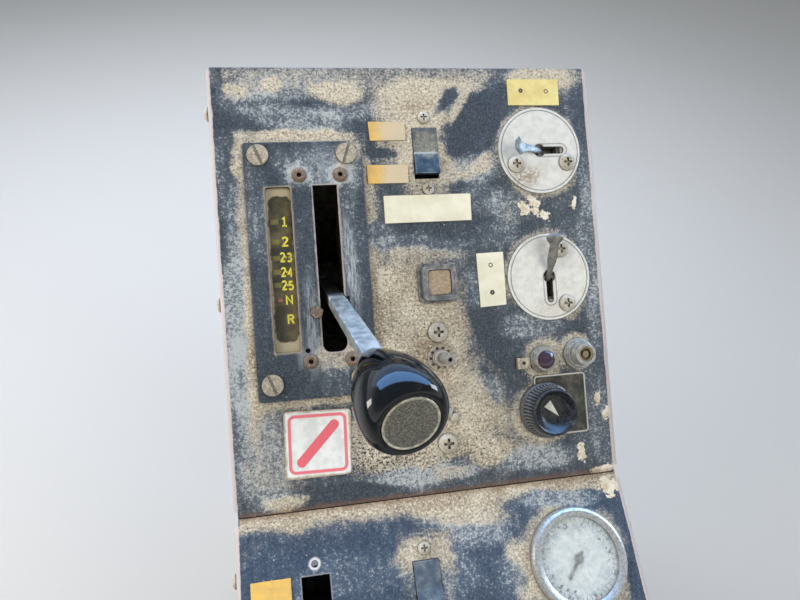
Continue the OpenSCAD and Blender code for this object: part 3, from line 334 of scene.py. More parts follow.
@finish
def dusty_enamel(slope, paint, dust, haze, base, chips, worn_sides=(), wear=None):
    """Baked navy enamel on sheet steel, under cab dust as thick as the dust table says.

    Dust lies grain by grain: the thicker it is, the more grains show, down to bare paint at zero.
    Wiped paint keeps the whitish haze of the haze table, as finer grains. Chips are ragged places
    where the paint is gone down to the cream primer."""
    flat = in_frame(slope)
    at = warped(flat, (34, 14), (7, 5))
    field = layered(at, base, dust)
    mist = layered(at, 0.02, haze)
    cloud = grain(flat, 26, 4, 0.6)
    mottle = grain(flat, 5, 4, 0.65)
    wipes = grain(flat, 3.2, 3, 0.6, stretch=(1, 9, 1), turn=-24)
    speckle = grain(flat, 1.15, 3, 0.8)
    first, second, third = grains(flat, 1.5)
    level = total(field, (0.9, cloud), (0.9, mottle), (0.5, wipes))
    share = node("MapRange", (level, 0.62, 1.95))
    # A grain lies where the dust's share beats the speckle
    lying = total(0, (1.2, share), (-1, first))
    film = node("Math", (share, 1.6), operation="POWER")
    thick = total(0, (0.62, node("MapRange", (lying, -0.1, 0.3))), (0.38, film))
    # Paint under the dust: dark where rubbed clean, blue-grey under haze
    rubbed = grain(flat, 15, 4, 0.62, stretch=(1, 1.8, 1), turn=-20)
    scratches = grain(flat, 0.75, 3, 0.7, stretch=(1, 22, 1), turn=17)
    fog = total(-0.72, (0.85, mist), (0.75, rubbed), (0.5, mottle), (0.3, wipes), (0.2, share))
    fog = node("Math", (fog, 0.0), operation="MAXIMUM")
    flecks = total(0, (1, fog), (-1, second))
    nicks = grain(flat, 2.6, 2, 0.5)
    packed = node("MapRange", (level, 1.9, 2.8), **STEP)
    colour = tinted(paint[0],
                    (node("MapRange", (third, 0.35, 0.95)), 0.6, paint[1]),
                    (node("MapRange", (third, 0.35, 0.0)), 0.6, DEEP),
                    (fog, 1.3, paint[1]),
                    (node("MapRange", (flecks, -0.12, 0.45)), 0.9, HAZE_GRAIN),
                    (scratches, 0.6, 0.78, 0.35, HAZE_GRAIN),
                    (nicks, 0.74, 0.77, 0.85, "#dfe0da"),
                    (thick, 0.96, dust_tone(flat, packed)))
    torn = warped(flat, (3.2, 2.4), (1, 0.8))
    flake = node("TexVoronoi", {"Vector": torn, "Scale": 0.55}, out="Color")
    shreds = grain(flat, 2.0, 5, 0.75)
    tatter = total(-1.12, (0.6, node("SeparateXYZ", (flake,))), (0.7, shreds))
    cream = tinted("#cdbf9f", (mottle, 0.35, 0.6, 1, PRIMER))
    for x, s, rx, rs, turn in chips:
        near = total(tatter, (1, oval(torn, x, s, rx, rs, turn, core=0.2, edge=1.6)))
        colour = tinted(colour, (near, -0.09, -0.02, 0.7, "#4a4238"), (near, 0, 0.05, 1, cream))
    if wear:
        colour = wear(flat, colour)
    # Folded side edges: paint worn to pinkish primer in a ragged strip
    ragged = grain(flat, 3, 4, 0.8, stretch=(1, 7, 1))
    along_x = node("SeparateXYZ", (flat,))
    for side, width in worn_sides:
        across = total(-1.3, (side, along_x), (2.6, ragged))
        inner = HALF_WIDTH - width
        colour = tinted(colour, (across, inner, inner + 0.4, 0.85, BARE))
    # Undersides keep their plain dark enamel; corners, and the lines where parts sit on the cover,
    # get a painted shade
    colour = tinted(colour, (upward(-0.2, -0.5), 1, "#2b3037"),
                    (crevice_shade(2.2), 0.75, "#2b2620"))
    height = total(0, (0.7, thick), (0.5, speckle))
    return {"Base Color": colour, "Roughness": total(0.42, (0.45, thick)),
            "Normal": rounded_normal(height, 0.3, 0.8)}


# Dust by its shape: weight, place, size and turn. Below zero, hands and sleeves wiped it off
UPPER_DUST = {
    oval: [(0.6, -42, 36, 20, 16), (0.4, -20, 26, 22, 9), (-0.55, 29, 249, 11, 5, 30),
           (0.5, 90, 266, 40, 6), (0.6, 20, 254, 40, 11), (0.7, -109, 257, 9, 6),
           (0.7, -86, 262, 6, 5), (0.85, -48, 256, 16, 7), (0.75, -70, 231, 26, 4),
           (0.65, 0, 232, 27, 30), (-0.9, 23, 249, 3.5, 12, -38), (0.7, 33, 247, 3.5, 13, -30),
           (-0.7, 24, 226, 6, 9), (-0.9, -78, 240, 46, 8, -3), (-0.8, -120, 150, 7, 110),
           (-1.2, 45, 238, 11, 36, -32), (-0.7, -30, 229, 7, 15), (-0.55, -20, 217.5, 9, 3.5),
           (0.95, 35, 207, 18, 10, 20), (-0.7, 45, 188, 15, 9), (0.25, 62, 174, 3, 14),
           (0.35, -28, 186, 5, 14), (0.5, -108, 92, 4, 56), (-1.15, 14, 165, 52, 8),
           (0.4, 5, 153, 30, 5), (1.2, -10, 116, 34, 34), (0.4, 18, 99, 12, 11),
           (0.95, 0, 55, 42, 36), (0.5, 42, 34, 30, 18), (0.7, 36, 22, 14, 7), (0.5, 8, 12, 14, 5),
           (-1.1, 43, 104, 9, 26, 22), (-0.65, 76, 104, 26, 6, -12), (-0.6, 39, 66, 4, 14, 8),
           (-0.8, 119, 130, 8, 150), (-0.9, 84, 15, 24, 10, 25), (-1, -44, 9, 32, 6, 8),
           (-0.5, 22, 21.5, 18, 3, 14), (0.35, -100, 35, 22, 26), (0.9, -92, 7, 14, 5)],
    block: [(0.45, 0, 266, 260, 8, 12), (0.85, *PLATE_AT, 76, 162, 7),
           (0.55, *FAST_IDLE_AT, 20, 52, 14)],
    disc: [(0.6, *AXLE_VALVE_AT, VALVE_R, 5), (0.6, *BRAKE_VALVE_AT, VALVE_R, 6),
           (1, *PUSH_LAMP_AT, 9, 9), (0.9, *KEY_LOCK_AT, 11, 5), (0.8, *ROTARY_AT, 18, 9),
           (0.4, *DIMMER_AT, 12, 10)],
}
# Whitish haze, in the same way
UPPER_HAZE = {
    oval: [(0.55, -72, 238, 30, 8, -8), (0.5, -42, 243, 20, 6), (0.75, -117, 128, 9, 34),
           (0.85, -116, 82, 10, 22), (0.35, -119, 205, 6, 26), (0.4, -70, 262, 40, 10),
           (0.4, -98, 251, 22, 7), (0.55, -107, 36, 18, 34), (0.4, -92, 8, 14, 6),
           (0.45, -110, 175, 7, 26), (0.5, 38, 204, 15, 11), (0.3, -2, 158, 36, 6),
           (0.35, -25, 165, 12, 8), (0.5, 118, 150, 8, 66), (0.3, 54, 162, 16, 8),
           (0.25, 44, 184, 14, 8), (0.25, 116, 30, 8, 30), (0.8, -8, 14, 34, 8),
           (0.7, 68, 16, 24, 9), (0.45, 38, 61, 10, 12), (0.4, 33, 128, 9, 12),
           (0.5, 72, 101, 22, 8), (0.35, 60, 180, 12, 12), (0.25, 106, 45, 16, 34),
           (-0.3, 37, 236, 10, 22, -32), (-0.25, 42, 96, 8, 22, 22), (-0.6, -52, 6, 30, 6),
           (-0.2, -20, 224, 12, 12)],
}
# Paint chips: x, s, half width, half length, turn
UPPER_CHIPS = [
    (113.9, 49.8, 2.6, 5.2, -14), (119.0, 38.8, 2.8, 5.0, -24), (99.6, 14.8, 3.2, 7.6, 4),
    (114.5, 2.4, 9.5, 3.2, 8), (72.5, 178.6, 4.8, 5.0, 24), (79.5, 182.6, 5.6, 3.8, -20),
    (86, 173.4, 5.0, 3.2, -30), (80, 177, 3.2, 2.4, 0), (108, 181, 1.6, 6, -15),
]
LOWER_DUST = {
    oval: [(0.9, 14, -13, 30, 8, -8), (1.1, 44, -51, 9, 18), (-1.1, -76, -29, 42, 9, 6),
           (-0.8, -50, -52, 64, 14), (-0.8, 30, -54, 22, 14), (-1.3, 88, -14, 26, 6, -8),
           (-0.6, 119, -70, 6, 100), (0.5, 0, -160, 120, 60)],
    block: [(1.3, 0, 0, 260, 5, 12), (1, *LOWER_SWITCH_AT, 26, 50, 12)],
    disc: [(1, *GAUGE_AT, GAUGE_R, 10)],
}
LOWER_HAZE = {
    oval: [(0.7, 82, -13, 26, 8), (0.4, 45, -50, 16, 14), (0.35, 0, -45, 20, 16),
           (0.55, 24, -25, 20, 9), (0.5, 10, -14, 22, 8), (0.25, -60, -40, 40, 12),
           (0.3, 0, -120, 110, 50)],
}
LOWER_CHIPS = [(115, -8.5, 6.4, 8, 30)]
PLATE_DUST = {
    oval: [(1.1, -58, 91, 22, 8), (0.8, -66, 100, 6, 9), (0.5, -48, 104, 6, 12),
           (0.25, -58, 212, 18, 10), (0.5, -37, 219, 8, 8)],
    block: [(0.3, *WINDOW_AT, 15, 100, 3)],
    disc: [(0.55, -73, 204, 4.5, 4), (0.6, -48, 203.5, 4.5, 5), (0.6, -43, 217, 7, 6)],
}
PLATE_HAZE = {
    oval: [(0.5, -62, 209, 24, 13), (0.12, -44, 160, 7, 46), (0.25, -43, 193, 6, 14),
           (0.15, -58, 88, 20, 10), (-0.25, -86, 82, 16, 12), (0.3, -99, 185, 8, 34),
           (0.15, -56, 78, 14, 12)],
    disc: [(0.5, -73, 204, 4.5, 6), (0.6, -48, 203.5, 4.5, 7)],
}


def seam_rust(at, colour):
    """Rust-brown dirt packed into the seam's corner."""
    along = node("SeparateXYZ", (warped(at, (7, 4)),), out=1)
    away = node("Math", (along,), operation="ABSOLUTE")
    return tinted(colour, (away, 4.5, 0.5, 0.55, "#7a5838"))


def upper_wear(at, colour):
    """The seam's rust, and dark pits in the dust, crowded below the knob."""
    crowd = layered(at, 0, {oval: [(1, -42, 32, 34, 18, 0, 0.3, 1.3),
                                   (0.7, 10, 20, 60, 14, 0, 0.3, 1.3), (0.4, -15, 110, 26, 40)]})
    pits = total(0, (1, grain(at, 1.5, 2, 0.6)), (0.11, crowd))
    return tinted(seam_rust(at, colour), (pits, 0.66, 0.69, 0.9, "#26292c"))


def lower_wear(at, colour):
    """The seam's rust, paint rubbed off round the missing switch's screw hole, and a pale line
    round its cut-out."""
    x, d = BLANK_SWITCH_AT
    uneven = warped(at, (3, 1.0))
    return tinted(seam_rust(at, colour),
                  (disc(uneven, x, d + SWITCH_PITCH / 2, 2.7, 1.6), 0.95, "#dfe1e4"),
                  (line_round(at, x, d, *SWITCH_SIZE, 0.5, 0.2), 0.55, "#a9a4ad"))


def plate_wear(at, colour):
    """Bright rubs beside the lever's slot, hazy smears, and bare edges of slot and window."""
    x = SLOT_AT[0]
    wavy = warped(at, (9, 6))
    rubs = grain(at, 1.0, 4, 0.75, stretch=(1, 11, 1), turn=5)
    beside = layered(wavy, 0, {oval: [(0.85, x + 13, 148, 5, 34, 3, 0.3, 1.25),
                                      (0.7, x - 13.5, 112, 4, 30, 0, 0.2, 1.4)]})
    rubs = total(0, (beside, node("MapRange", (rubs, 0.38, 0.6), **STEP)))
    smear = grain(at, 7, 4, 0.65, stretch=(1, 1.8, 1), turn=-20)
    hazy = layered(wavy, 0, {oval: [(1, x + 4, 208, 20, 14, 20, 0.2, 1.3),
                                    (0.9, x - 16, 92, 14, 20, 0, 0.2, 1.3)]})
    smear = total(0, (hazy, node("MapRange", (smear, 0.4, 0.68), **STEP)))
    uneven = warped(at, (5, 1.5))
    return tinted(colour, (rubs, 1, "#bcc6cb"), (smear, 0.6, "#9aa5b0"),
                  (block(uneven, *WINDOW_AT, *WINDOW_SIZE, 1.4), 0.85, "#a89c8a"),
                  (block(uneven, *SLOT_AT, *SLOT_SIZE, 1.4), 0.85, "#c3b9b5"))


# Baked enamel on folded steel: semi-gloss navy that scuffs to a bluish haze and holds dust
dusty_enamel("baked_enamel_upper_cover", UPPER_SLOPE, UPPER_PAINT, UPPER_DUST, UPPER_HAZE, -0.35,
             UPPER_CHIPS, [(-1, 2.6), (1, 4)], upper_wear, on="upper_cover")
dusty_enamel("baked_enamel_lower_cover", LOWER_SLOPE, LOWER_PAINT, LOWER_DUST, LOWER_HAZE, -0.35,
             LOWER_CHIPS, [(-1, 2.6), (1, 3.6)], lower_wear, on="lower_cover")
dusty_enamel("baked_enamel_selector_plate", UPPER_SLOPE, UPPER_PAINT, PLATE_DUST, PLATE_HAZE,
             -0.75, [], wear=plate_wear, on="selector_plate")


# Finishes of the small parts


@finish
def weathered(colours, rough, metallic=0.0, dust=0.35, rust=0.0, blob=6.0, wear="", bump=0.06,
              radius=0.35, dirt=0.85, reach=1.6, marks=None, more=()):
    """A mottle of two colours, with dust on what faces up, painted shade in slits and corners,
    rust blooms and rubbed edges. Dust is the share of an upward face that it covers; marks(colour)
    adds to the colour what only this finish has."""
    at = in_row()
    cloud = grain(at, blob, 4, 0.6)
    fine = grain(at, 0.9, 3, 0.7)
    colour = tinted(colours[0], (cloud, 0.35, 0.65, 1, colours[1]))
    if rust:
        bloom = total(0, (0.6, grain(at, 3, 4, 0.7)), (0.4, fine))
        limit = 0.66 - 0.3 * rust
        colour = tinted(colour, (bloom, limit, limit + 0.1, 0.85, "#7c4a2b"))
    if wear:
        patchy = node("MapRange", (cloud, 0.3, 0.6), **STEP)
        colour = tinted(colour, (total(0, (edge_wear(), patchy)), 1, wear))
    if marks:
        colour = marks(colour)
    settled = total(dust - 0.85, (0.9, cloud), (0.8, fine))
    film = node("MapRange", (settled, 0.1, 0.9), **STEP)
    open_share = total(0.25, (0.75, upward()))
    film = node("Math", (film, open_share), operation="MULTIPLY", use_clamp=True)
    # Painted shade: near-black brown in slits and corners, from ambient occlusion, where dust
    # thins
    slit_shade_mask = crevice_shade(reach)
    film = total(0, (film, total(1, (-0.8, slit_shade_mask))))
    colour = tinted(colour, (film, 0.9, dust_tone(at, 0.2, 1.3)), (slit_shade_mask, dirt, "#1f1b17"))
    height = total(0, (0.6, film), (0.5, fine))
    return {"Base Color": colour, "Roughness": total(rough, (max(0.0, 0.9 - rough), film)),
            "Normal": rounded_normal(height, bump, radius),
            "Metallic": total(metallic, (-metallic, film)) if metallic else 0.0, **dict(more)}


def wall_marks(colour):
    """Walls: trodden dust, thick at the foot and thin above, long drag marks and pale nicks."""
    at = in_row()
    trodden_to = 330
    low = node("MapRange", (node("SeparateXYZ", (at,), out=2), trodden_to, 0))
    mottle = grain(at, 6, 4, 0.65)
    speck, dark, _ = grains(at, 2.6)
    share = total(-0.62, (0.75, low), (0.7, grain(at, 45, 4, 0.6)), (0.45, mottle))
    lying = total(0, (1.3, share), (-1, speck))
    drags = grain(at, 1.6, 3, 0.7, stretch=(1, 16, 1))
    nicks = grain(at, 3.4, 2, 0.5)
    return tinted(colour,
                  (node("MapRange", (mottle, 0.4, 0.68)), 0.7, "#586675"),
                  (node("MapRange", (dark, 0.45, 0.1)), 0.5, DEEP),
                  (drags, 0.58, 0.74, 0.35, HAZE_GRAIN),
                  (nicks, 0.73, 0.76, 0.8, "#dfe0da"),
                  (node("MapRange", (lying, -0.25, 0.2)), 0.85, dust_tone(at, 0.3, 2.6)))


# Where the bars stand beside the five forward ranges' numerals
BAR_ROWS = (176.3, 164, 154, 145.5, 137.5)


def index_marks(colour):
    """Dust along the window's rim and in its rounded ends, and a faint olive bar beside each
    range's numeral."""
    at = in_frame()
    uneven = warped(at, (10, 2.6), (3, 2))
    rim = block(uneven, -86.2, 147.2, 5, 80, 6.0)
    rim = node("MapRange", (rim, 0.02, 0.22), **STEP)
    colour = node("Mix", {0: rim, 6: "#b3a88c", 7: colour}, **TINTS)
    for s in BAR_ROWS:
        colour = tinted(colour, (block(at, -89.8, s, 4, 2.4, 0.6), 0.6, "#8a8440"))
    return colour


def valve_marks(colour):
    """A fine line engraved round each keyhole, and brown stains beside the axle valve's lever."""
    at = in_frame()
    stained = warped(at, (6, 5), (1.5, 1))
    blots = layered(stained, 0, {oval: [
        (1, 76, 199, 14, 7, 20, 0.2, 1.3), (0.6, 68, 208, 6, 8, 0, 0.1, 1.3),
        (0.5, 90, 152, 12, 9, 0, 0.0, 1.3), (0.35, 84, 112, 16, 6, 0, 0.0, 1.3)]})
    spots = node("MapRange", (grain(at, 1.6, 4, 0.8), 0.38, 0.56), **STEP)
    (x, s), (across, below) = AXLE_VALVE_AT, BRAKE_VALVE_AT
    return tinted(colour, (total(0, (blots, spots)), 0.9, "#9a8460"),
                  (line_round(at, x + 7.4, s, 14.8, 0.1, 4.2), 0.55, "#6d6a60"),
                  (line_round(at, across, below - 7.4, 0.1, 14.8, 4.2), 0.55, "#6d6a60"))


def rocker_marks(colour):
    """Grey dust on the rocker's far half that spills over the ridge, and the ridge rubbed pale."""
    at = in_frame()
    x, s = FAST_IDLE_AT
    pale, dark, edge = grains(at, 1.5)
    along = total(-s, (1, node("SeparateXYZ", (at,), out=1)))
    ridge = node("Math", (along,), operation="ABSOLUTE")
    spill = oval(warped(at, (4, 3)), x + 1, s - 1, 6, 4, 0, 0.3, 1.3)
    patchy = grain(at, 5, 4, 0.65)
    thin = total(0, (0.35, node("MapRange", (along, 6, 16))), (-0.35, oval(at, x, s + 6, 6, 9)))
    dusty = total(-1.5, (1, node("MapRange", (along, -0.2, 1.6))), (1.1, spill), (0.4, edge),
                  (1.9, patchy), (-1, thin))
    grey = tinted("#84867d", (node("MapRange", (pale, 0.5, 1.0)), 0.8, "#b9b8aa"),
                  (node("MapRange", (dark, 0.4, 0.1)), 0.7, "#3d444a"))
    return tinted(colour, (dusty, 0.85, grey), (ridge, 1.0, 0.4, 0.7, "#b3babd"))


def tape_marks(colour):
    """Tape whose right end has sunk under dust."""
    at = in_frame()
    along = node("SeparateXYZ", (warped(at, (8, 5)),))
    return tinted(colour, (along, -27, -14, 0.92, "#d6c8ac"))


def skirt_marks(colour):
    """Grey dust on the rotary knob's skirt and ribs, painted shade in the grooves between the
    ribs, and olive dust in its dish.
    """
    at = in_frame()
    x, s = ROTARY_AT
    side = layered(at, 1, {disc: [(-1, x, s, 15.0, 0.5)]})
    skirt = layered(at, 1, {disc: [(-1, x, s, 16.6, 0.2)]})
    # Painted shade: near-black stripes in the grooves between the ribs
    groove_shade = node("MapRange", (spokes(at, x, s, RIBS), -0.3, 0.7), **STEP)
    groove_shade = total(0, (groove_shade, total(0, (1, side), (-1, skirt))))
    speck, _, _ = grains(at, 1.4)
    dish = disc(warped(at, (3, 1)), x, s + 2.3, 6.5, 2)
    return tinted(colour, (total(-0.15, (0.85, side), (0.4, speck)), 0.8, "#7b7c80"),
                  (skirt, 0.6, "#4a4845"), (groove_shade, 0.95, "#101216"), (dish, 0.55, "#3b3a30"))


def dial_stains(colour):
    """What is left of the printed scale: faint ticks, blue-grey stains and some dark specks in its
    ring, and paler stains elsewhere. The dial lies in the lower cover."""
    x, d = GAUGE_AT
    at = in_frame(LOWER_SLOPE)
    scale = layered(at, 0, {disc: [(1, x, d, 24.5, 2.5), (-1, x, d, 15.5, 4.0)]})
    ring = layered(at, 0, {disc: [(1, x, d, 25.0, 0.2), (-1, x, d, 21.8, 0.2)]})
    patchy = grain(at, 2.6, 4, 0.75)
    tick = node("MapRange", (spokes(at, x, d, DIAL_TICKS), 0.6, 0.9))
    ticks = total(-2.25, (1, tick), (1, ring), (1.3, patchy))
    stains = total(-0.6, (1, patchy), (0.09, scale))
    specks = total(-0.77, (1, grain(at, 3.4, 2, 0.5)), (0.15, scale))
    return tinted(colour,
                  (node("MapRange", (stains, -0.02, 0.06)), 0.75, "#86a5b6"),
                  (node("MapRange", (ticks, 0.0, 0.3)), 0.85, "#5a6d79"),
                  (node("MapRange", (specks, -0.01, 0.02)), 1, "#2f3a41"))


def collar_dust(colour):
    """Grey film on the knob's neck, where hands don't rub."""
    at = in_frame()
    neck = from_arm((0.0, 0.0, ARM_LEN + 3))
    away = node("VectorMath", (at, tuple(neck)), operation="DISTANCE", out="Value")
    uneven = total(0, (1, away), (16.0, grain(at, 5, 4, 0.65)))
    return tinted(colour, (uneven, 25, 15, 0.4, "#8f979d"))


def label_border(colour):
    """A thin pale line round the rotary control's label."""
    at = in_frame()
    x, s = ROTARY_AT
    return tinted(colour, (line_round(at, x + 10.9, s + 2.6, 31.4, 34.8, 1.8), 0.85, "#d6d6ce"))


# Side walls of the same enamel, out of the hands' way: darker, less dusty, bare at the folds
weathered("baked_enamel_wall", ("#2f3945", "#3e4956"), 0.5, dust=0.25, blob=18, wear=BARE,
          marks=wall_marks, on="side_wall_left side_wall_right end_wall seam_rail dash_rail")
# Oiled mild steel inside the selector: nearly black, greasy, with a little rust
weathered("oiled_sheet_steel", ("#3c3930", "#68624f"), 0.55, dust=0.4, rust=0.2, dirt=0.4,
          on="selector_housing selector_pivot_pin")
# The quadrant inside, coated with olive-brown grease and dust
weathered("greasy_quadrant", ("#8f8562", "#6d6549"), 0.6, dust=0.5, rust=0.1, dirt=0.4,
          on="selector_quadrant")
# Cold drawn steel bar, polished by hands to a bluish satin with brighter edges
lever_steel = weathered(
    "cold_drawn_steel_bar", ("#8f9a9e", "#bec3c2"), 0.3, 0.6, dust=0.16, rust=0.1, blob=5,
    wear="#eef3f6", dirt=0.7, on="selector_lever")
# The axle valve's lever: the same plating, duller
toggle_steel = weathered("plated_toggle_lever", ("#5f6a72", "#8f999e"), 0.4, 0.5, dust=0.12,
                         blob=3, wear="#d5dbde", dirt=0.7)
# The brake valve's lever has lost its plating: dull grey, brown at the root
dull_steel = weathered("dull_steel_lever", ("#6f6f6b", "#96958d"), 0.4, 0.5, dust=0.16, rust=0.2,
                       blob=4, wear="#c9c9c0", dirt=0.5)
# Zinc plated steel: dull silver under dust, with pin-pricks of rust
screw_zinc = weathered(
    "zinc_plated_screws", ("#cfc9bb", "#b0a896"), 0.65, 0.2, dust=0.4, rust=0.12, reach=4,
    dirt=1.0, on="cover_screws switch_screws valve_screws panel_screws dimmer_body")
# The same plating on the selector's big screws, nearly hidden by dust
weathered("dusty_fillister_screws", ("#aba697", "#8d8777"), 0.6, 0.3, dust=0.6, rust=0.1,
          on="selector_plate_screws dimmer_washer")
# Steel rivets whose plating has gone: brown and matt
weathered("rusted_rivets", ("#7c6a5c", "#5a4537"), 0.7, 0.2, dust=0.35, rust=0.5,
          on="selector_rivets selector_stop_bolt")
# The push lamp's tab: rust under dust
weathered("dusty_rusted_tab", ("#8d7a62", "#75604b"), 0.8, 0.1, dust=0.75, rust=0.3, blob=3,
          on="push_lamp_bracket")
# Phenolic resin, polished: almost black with a sharp reflection
knob_phenolic = weathered("phenolic_resin_knob", ("#03060b", "#070c14"), 0.07, dust=0.02,
                          bump=0.01, marks=collar_dust, radius=0.8, dirt=0.0)
# The medallion's rim, rubbed to pale metal by palms
rim_bright = weathered("rubbed_medallion_rim", ("#d9d4bd", "#a5a08c"), 0.4, 0.4, dust=0.05,
                       blob=3, dirt=0.5)
# Die cast alloy: grey-brown and pitted
medallion_cast = weathered("die_cast_medallion", ("#54534d", "#817f76"), 0.5, 0.4, dust=0.12,
                           blob=0.9, wear="#e2decf", bump=0.3, dirt=0.6)
# Moulded nylon: black with a soft sheen, edges rubbed grey
weathered("moulded_black_nylon", ("#1c2128", "#2f363f"), 0.45, dust=0.22, wear="#7d8894",
          on="fast_idle_switch_body lower_switch_body rotary_control_body")
# The rotary knob's nylon, glossy in its dish, with dust on its skirt; its pale edges are rubbed
# wear and a painted highlight on the rim and the ribs' edges
knob_nylon = weathered("rotary_knob_nylon", ("#15191f", "#242b35"), 0.24, dust=0.06,
                       wear="#a5acb1", radius=0.25, marks=skirt_marks)
# Printed label of the rotary control: dark olive laminate with a pale border
weathered("rotary_label_laminate", ("#33332d", "#45443a"), 0.5, dust=0.16, blob=10,
          marks=label_border, on="rotary_label_plate")
# Moulded housing bleached grey by the sun
weathered("bleached_lamp_housing", ("#565a5f", "#74787b"), 0.5, dust=0.25, blob=4,
          wear="#b3b5b4", on="pilot_lamp_housing")
# Moulded nylon rockers: bluish black, polished by fingers
weathered("moulded_rocker_nylon", ("#24323d", "#405261"), 0.5, dust=0.12, wear="#93a0ae",
          marks=rocker_marks, on="fast_idle_rocker")
weathered("lower_rocker_nylon", ("#475666", "#617180"), 0.35, dust=0.15, wear="#93a0ae",
          on="lower_rocker")
# Clear anodised aluminium: pale, satin, stained by dirty fingers
weathered("clear_anodised_plate", ("#e8e8e2", "#dbdbd5"), 0.45, 0.15, dust=0.1, blob=5,
          marks=valve_marks, on="axle_valve_plate brake_valve_plate")
# Die cast zinc: dull grey
weathered("die_cast_zinc", ("#8d8a82", "#75726a"), 0.5, 0.6, dust=0.3,
          on="axle_valve_body brake_valve_body")
# Moulded amber lens, scoured matt by dust
weathered("amber_lens", ("#a8937a", "#8d7658"), 0.5, dust=0.42, blob=3, bump=0.12,
          on="pilot_lamp_lens")
# Ruby jewel: dark and glossy, unlit
weathered("ruby_jewel", ("#4e2c3e", "#2f2a40"), 0.12, dust=0.06, blob=3, dirt=0.2,
          more={"Coat Weight": 0.5}, on="push_lamp_jewel")
# Its bezel: plated once, now matt and beige with dust
weathered("dulled_bezel", ("#b7b5ac", "#8b8980"), 0.38, 0.5, dust=0.16, rust=0.1, blob=3,
          wear="#d6d3c6", on="push_lamp_body dimmer_spindle")
# Lock barrel: dirty plated zinc, bright at the rims
weathered("dirty_lock_barrel", ("#d6d5ce", "#a5a299"), 0.33, 0.65, dust=0.12, rust=0.08, blob=4,
          wear="#e9e7dd", on="key_lock_body")
# Chrome plate: bright with fine pits
weathered("pitted_chrome", ("#d3d6d7", "#a9acab"), 0.35, 0.6, dust=0.14, rust=0.12, blob=1.5,
          bump=0.03, on="gauge_case")
# Worn brass of the lock's core
weathered("worn_brass", ("#b3a684", "#83775a"), 0.4, 0.5, dust=0.15, on="key_lock_core")
# Painted index strip: olive-black and matt
weathered("index_strip_paint", ("#3a382a", "#655b3e"), 0.6, dust=0.06, blob=12, dirt=0.5,
          marks=index_marks, on="selector_index_strip")
# Printed dial bleached pale blue, and its pointer's matt black paint
weathered("bleached_dial", ("#eff6f6", "#cddadd"), 0.6, dust=0.06, blob=4, marks=dial_stains,
          on="gauge_dial")
weathered("dial_pointer_paint", ("#14171a", "#24292c"), 0.6, dust=0.05, on="gauge_pointer")
# Engraving laminate and embossed tape: smooth, slightly yellowed plastic
cream_laminate = weathered("engraved_laminate_cream", ("#f2f0dc", "#e6e3cb"), 0.5, dust=0.06,
                           blob=14, radius=0.2)
yellow_laminate = weathered("engraved_laminate_yellow", ("#efe29a", "#e2d086"), 0.5, dust=0.12,
                            blob=14, radius=0.2)
tape_amber = weathered("embossed_tape_amber", ("#e8c064", "#d9b060"), 0.5, dust=0.22, blob=9,
                       radius=0.2, marks=tape_marks)
# Split loom: corrugated black polyethylene, near black, so that the looms give the painted shade
# seen inside the console through the cut-out
shade_loom_black = weathered("split_loom", ("#07080a", "#0e1013"), 0.75, dust=0.0, dirt=0.5)
# Ink and paints of the small marks, matt and a little dusty
label_ink = weathered("engraved_filling_ink", ("#3a3b38", "#55544c"), 0.6, dust=0.05)
numeral_paint = weathered("range_numeral_paint", ("#ede24c", "#d9cf45"), 0.6, dust=0.03)
pointer_red = weathered("range_pointer_paint", ("#b5705c", "#a0604e"), 0.6, dust=0.1)
pointer_white = weathered("rotary_pointer_paint", ("#e9e7dc", "#cfccbe"), 0.5, dust=0.1)
# Clear nylon cable clip, gone milky
clear_nylon = weathered("clear_nylon_clip", ("#c9cdc9", "#b4b6ae"), 0.3, dust=0.25,
                        more={"Alpha": 0.75})


@finish
def dusty_glass():
    """Thin dusty window glass: mostly see-through, with a film that scatters a little light."""
    film = grain(in_row(), 7, 4, 0.65)
    return {"Base Color": "#e6edee", "Roughness": 0.12,
            "Alpha": node("MapRange", (film, 0.3, 0.8, 0.08, 0.35), **STEP)}


dusty_glass("dusty_window_glass", on="gauge_glass")

# The square sticker's corners and its middle
STICKER = [(-93.3, 19.2), (-53.3, 19.0), (-51.0, 58.9), (-92.4, 60.6)]
STICKER_MID = (-72.5, 39.6)


@finish
def printed_vinyl():
    """Gloss vinyl sticker: white, a red frame and a red diagonal band, scuffed and dusty."""
    at = in_frame()
    own = node("Mapping", (at, (*STICKER_MID, 0), (0, 0, math.radians(-1.5))),
               vector_type="TEXTURE")
    leaning = node("Mapping", {0: own, 2: (0, 0, math.radians(-47))})
    colour = tinted("#f3f7f7", (grain(at, 9, 4, 0.6), 0.4, 0.62, 1, "#dfe4e2"),
                    (line_round(own, 0, 0, 27.5, 27.5, 3.2, 0.85), 1, "#ef7f89"),
                    (outside(leaning, 0, 0, 30, 0.2), 3.0, 2.75, 1, "#ee6f7b"),
                    (grain(at, 1.1, 3, 0.8), 0.6, 0.7, 0.5, "#cfc6b6"))
    clean = block(warped(own, (4, 2.5)), 0, 0, 37, 37, 1.6)
    colour = node("Mix", {0: clean, 6: "#b3a68e", 7: colour}, **TINTS)
    return {"Base Color": colour, "Roughness": 0.35}


# Pieces as surfaces


def placed(name, data):
    """A new object of a mesh, lamp or camera, in the scene."""
    made = bpy.data.objects.new(name, data)
    bpy.context.scene.collection.objects.link(made)
    return made


def add_mesh(name, points, faces, material, slot, body="console", slope=UPPER_SLOPE, smooth=False):
    """A mesh from points of a cover's frame and rows of point numbers, riding on a body."""
    mesh = bpy.data.meshes.new(name)
    mesh.from_pydata(to_row(points, slope).tolist(), [], faces)
    mesh.polygons.foreach_set("use_smooth", np.full(len(mesh.polygons), smooth))
    mesh.materials.append(material)
    mesh.update()
    piece = placed(name, mesh)
    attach(piece, body)
    return piece


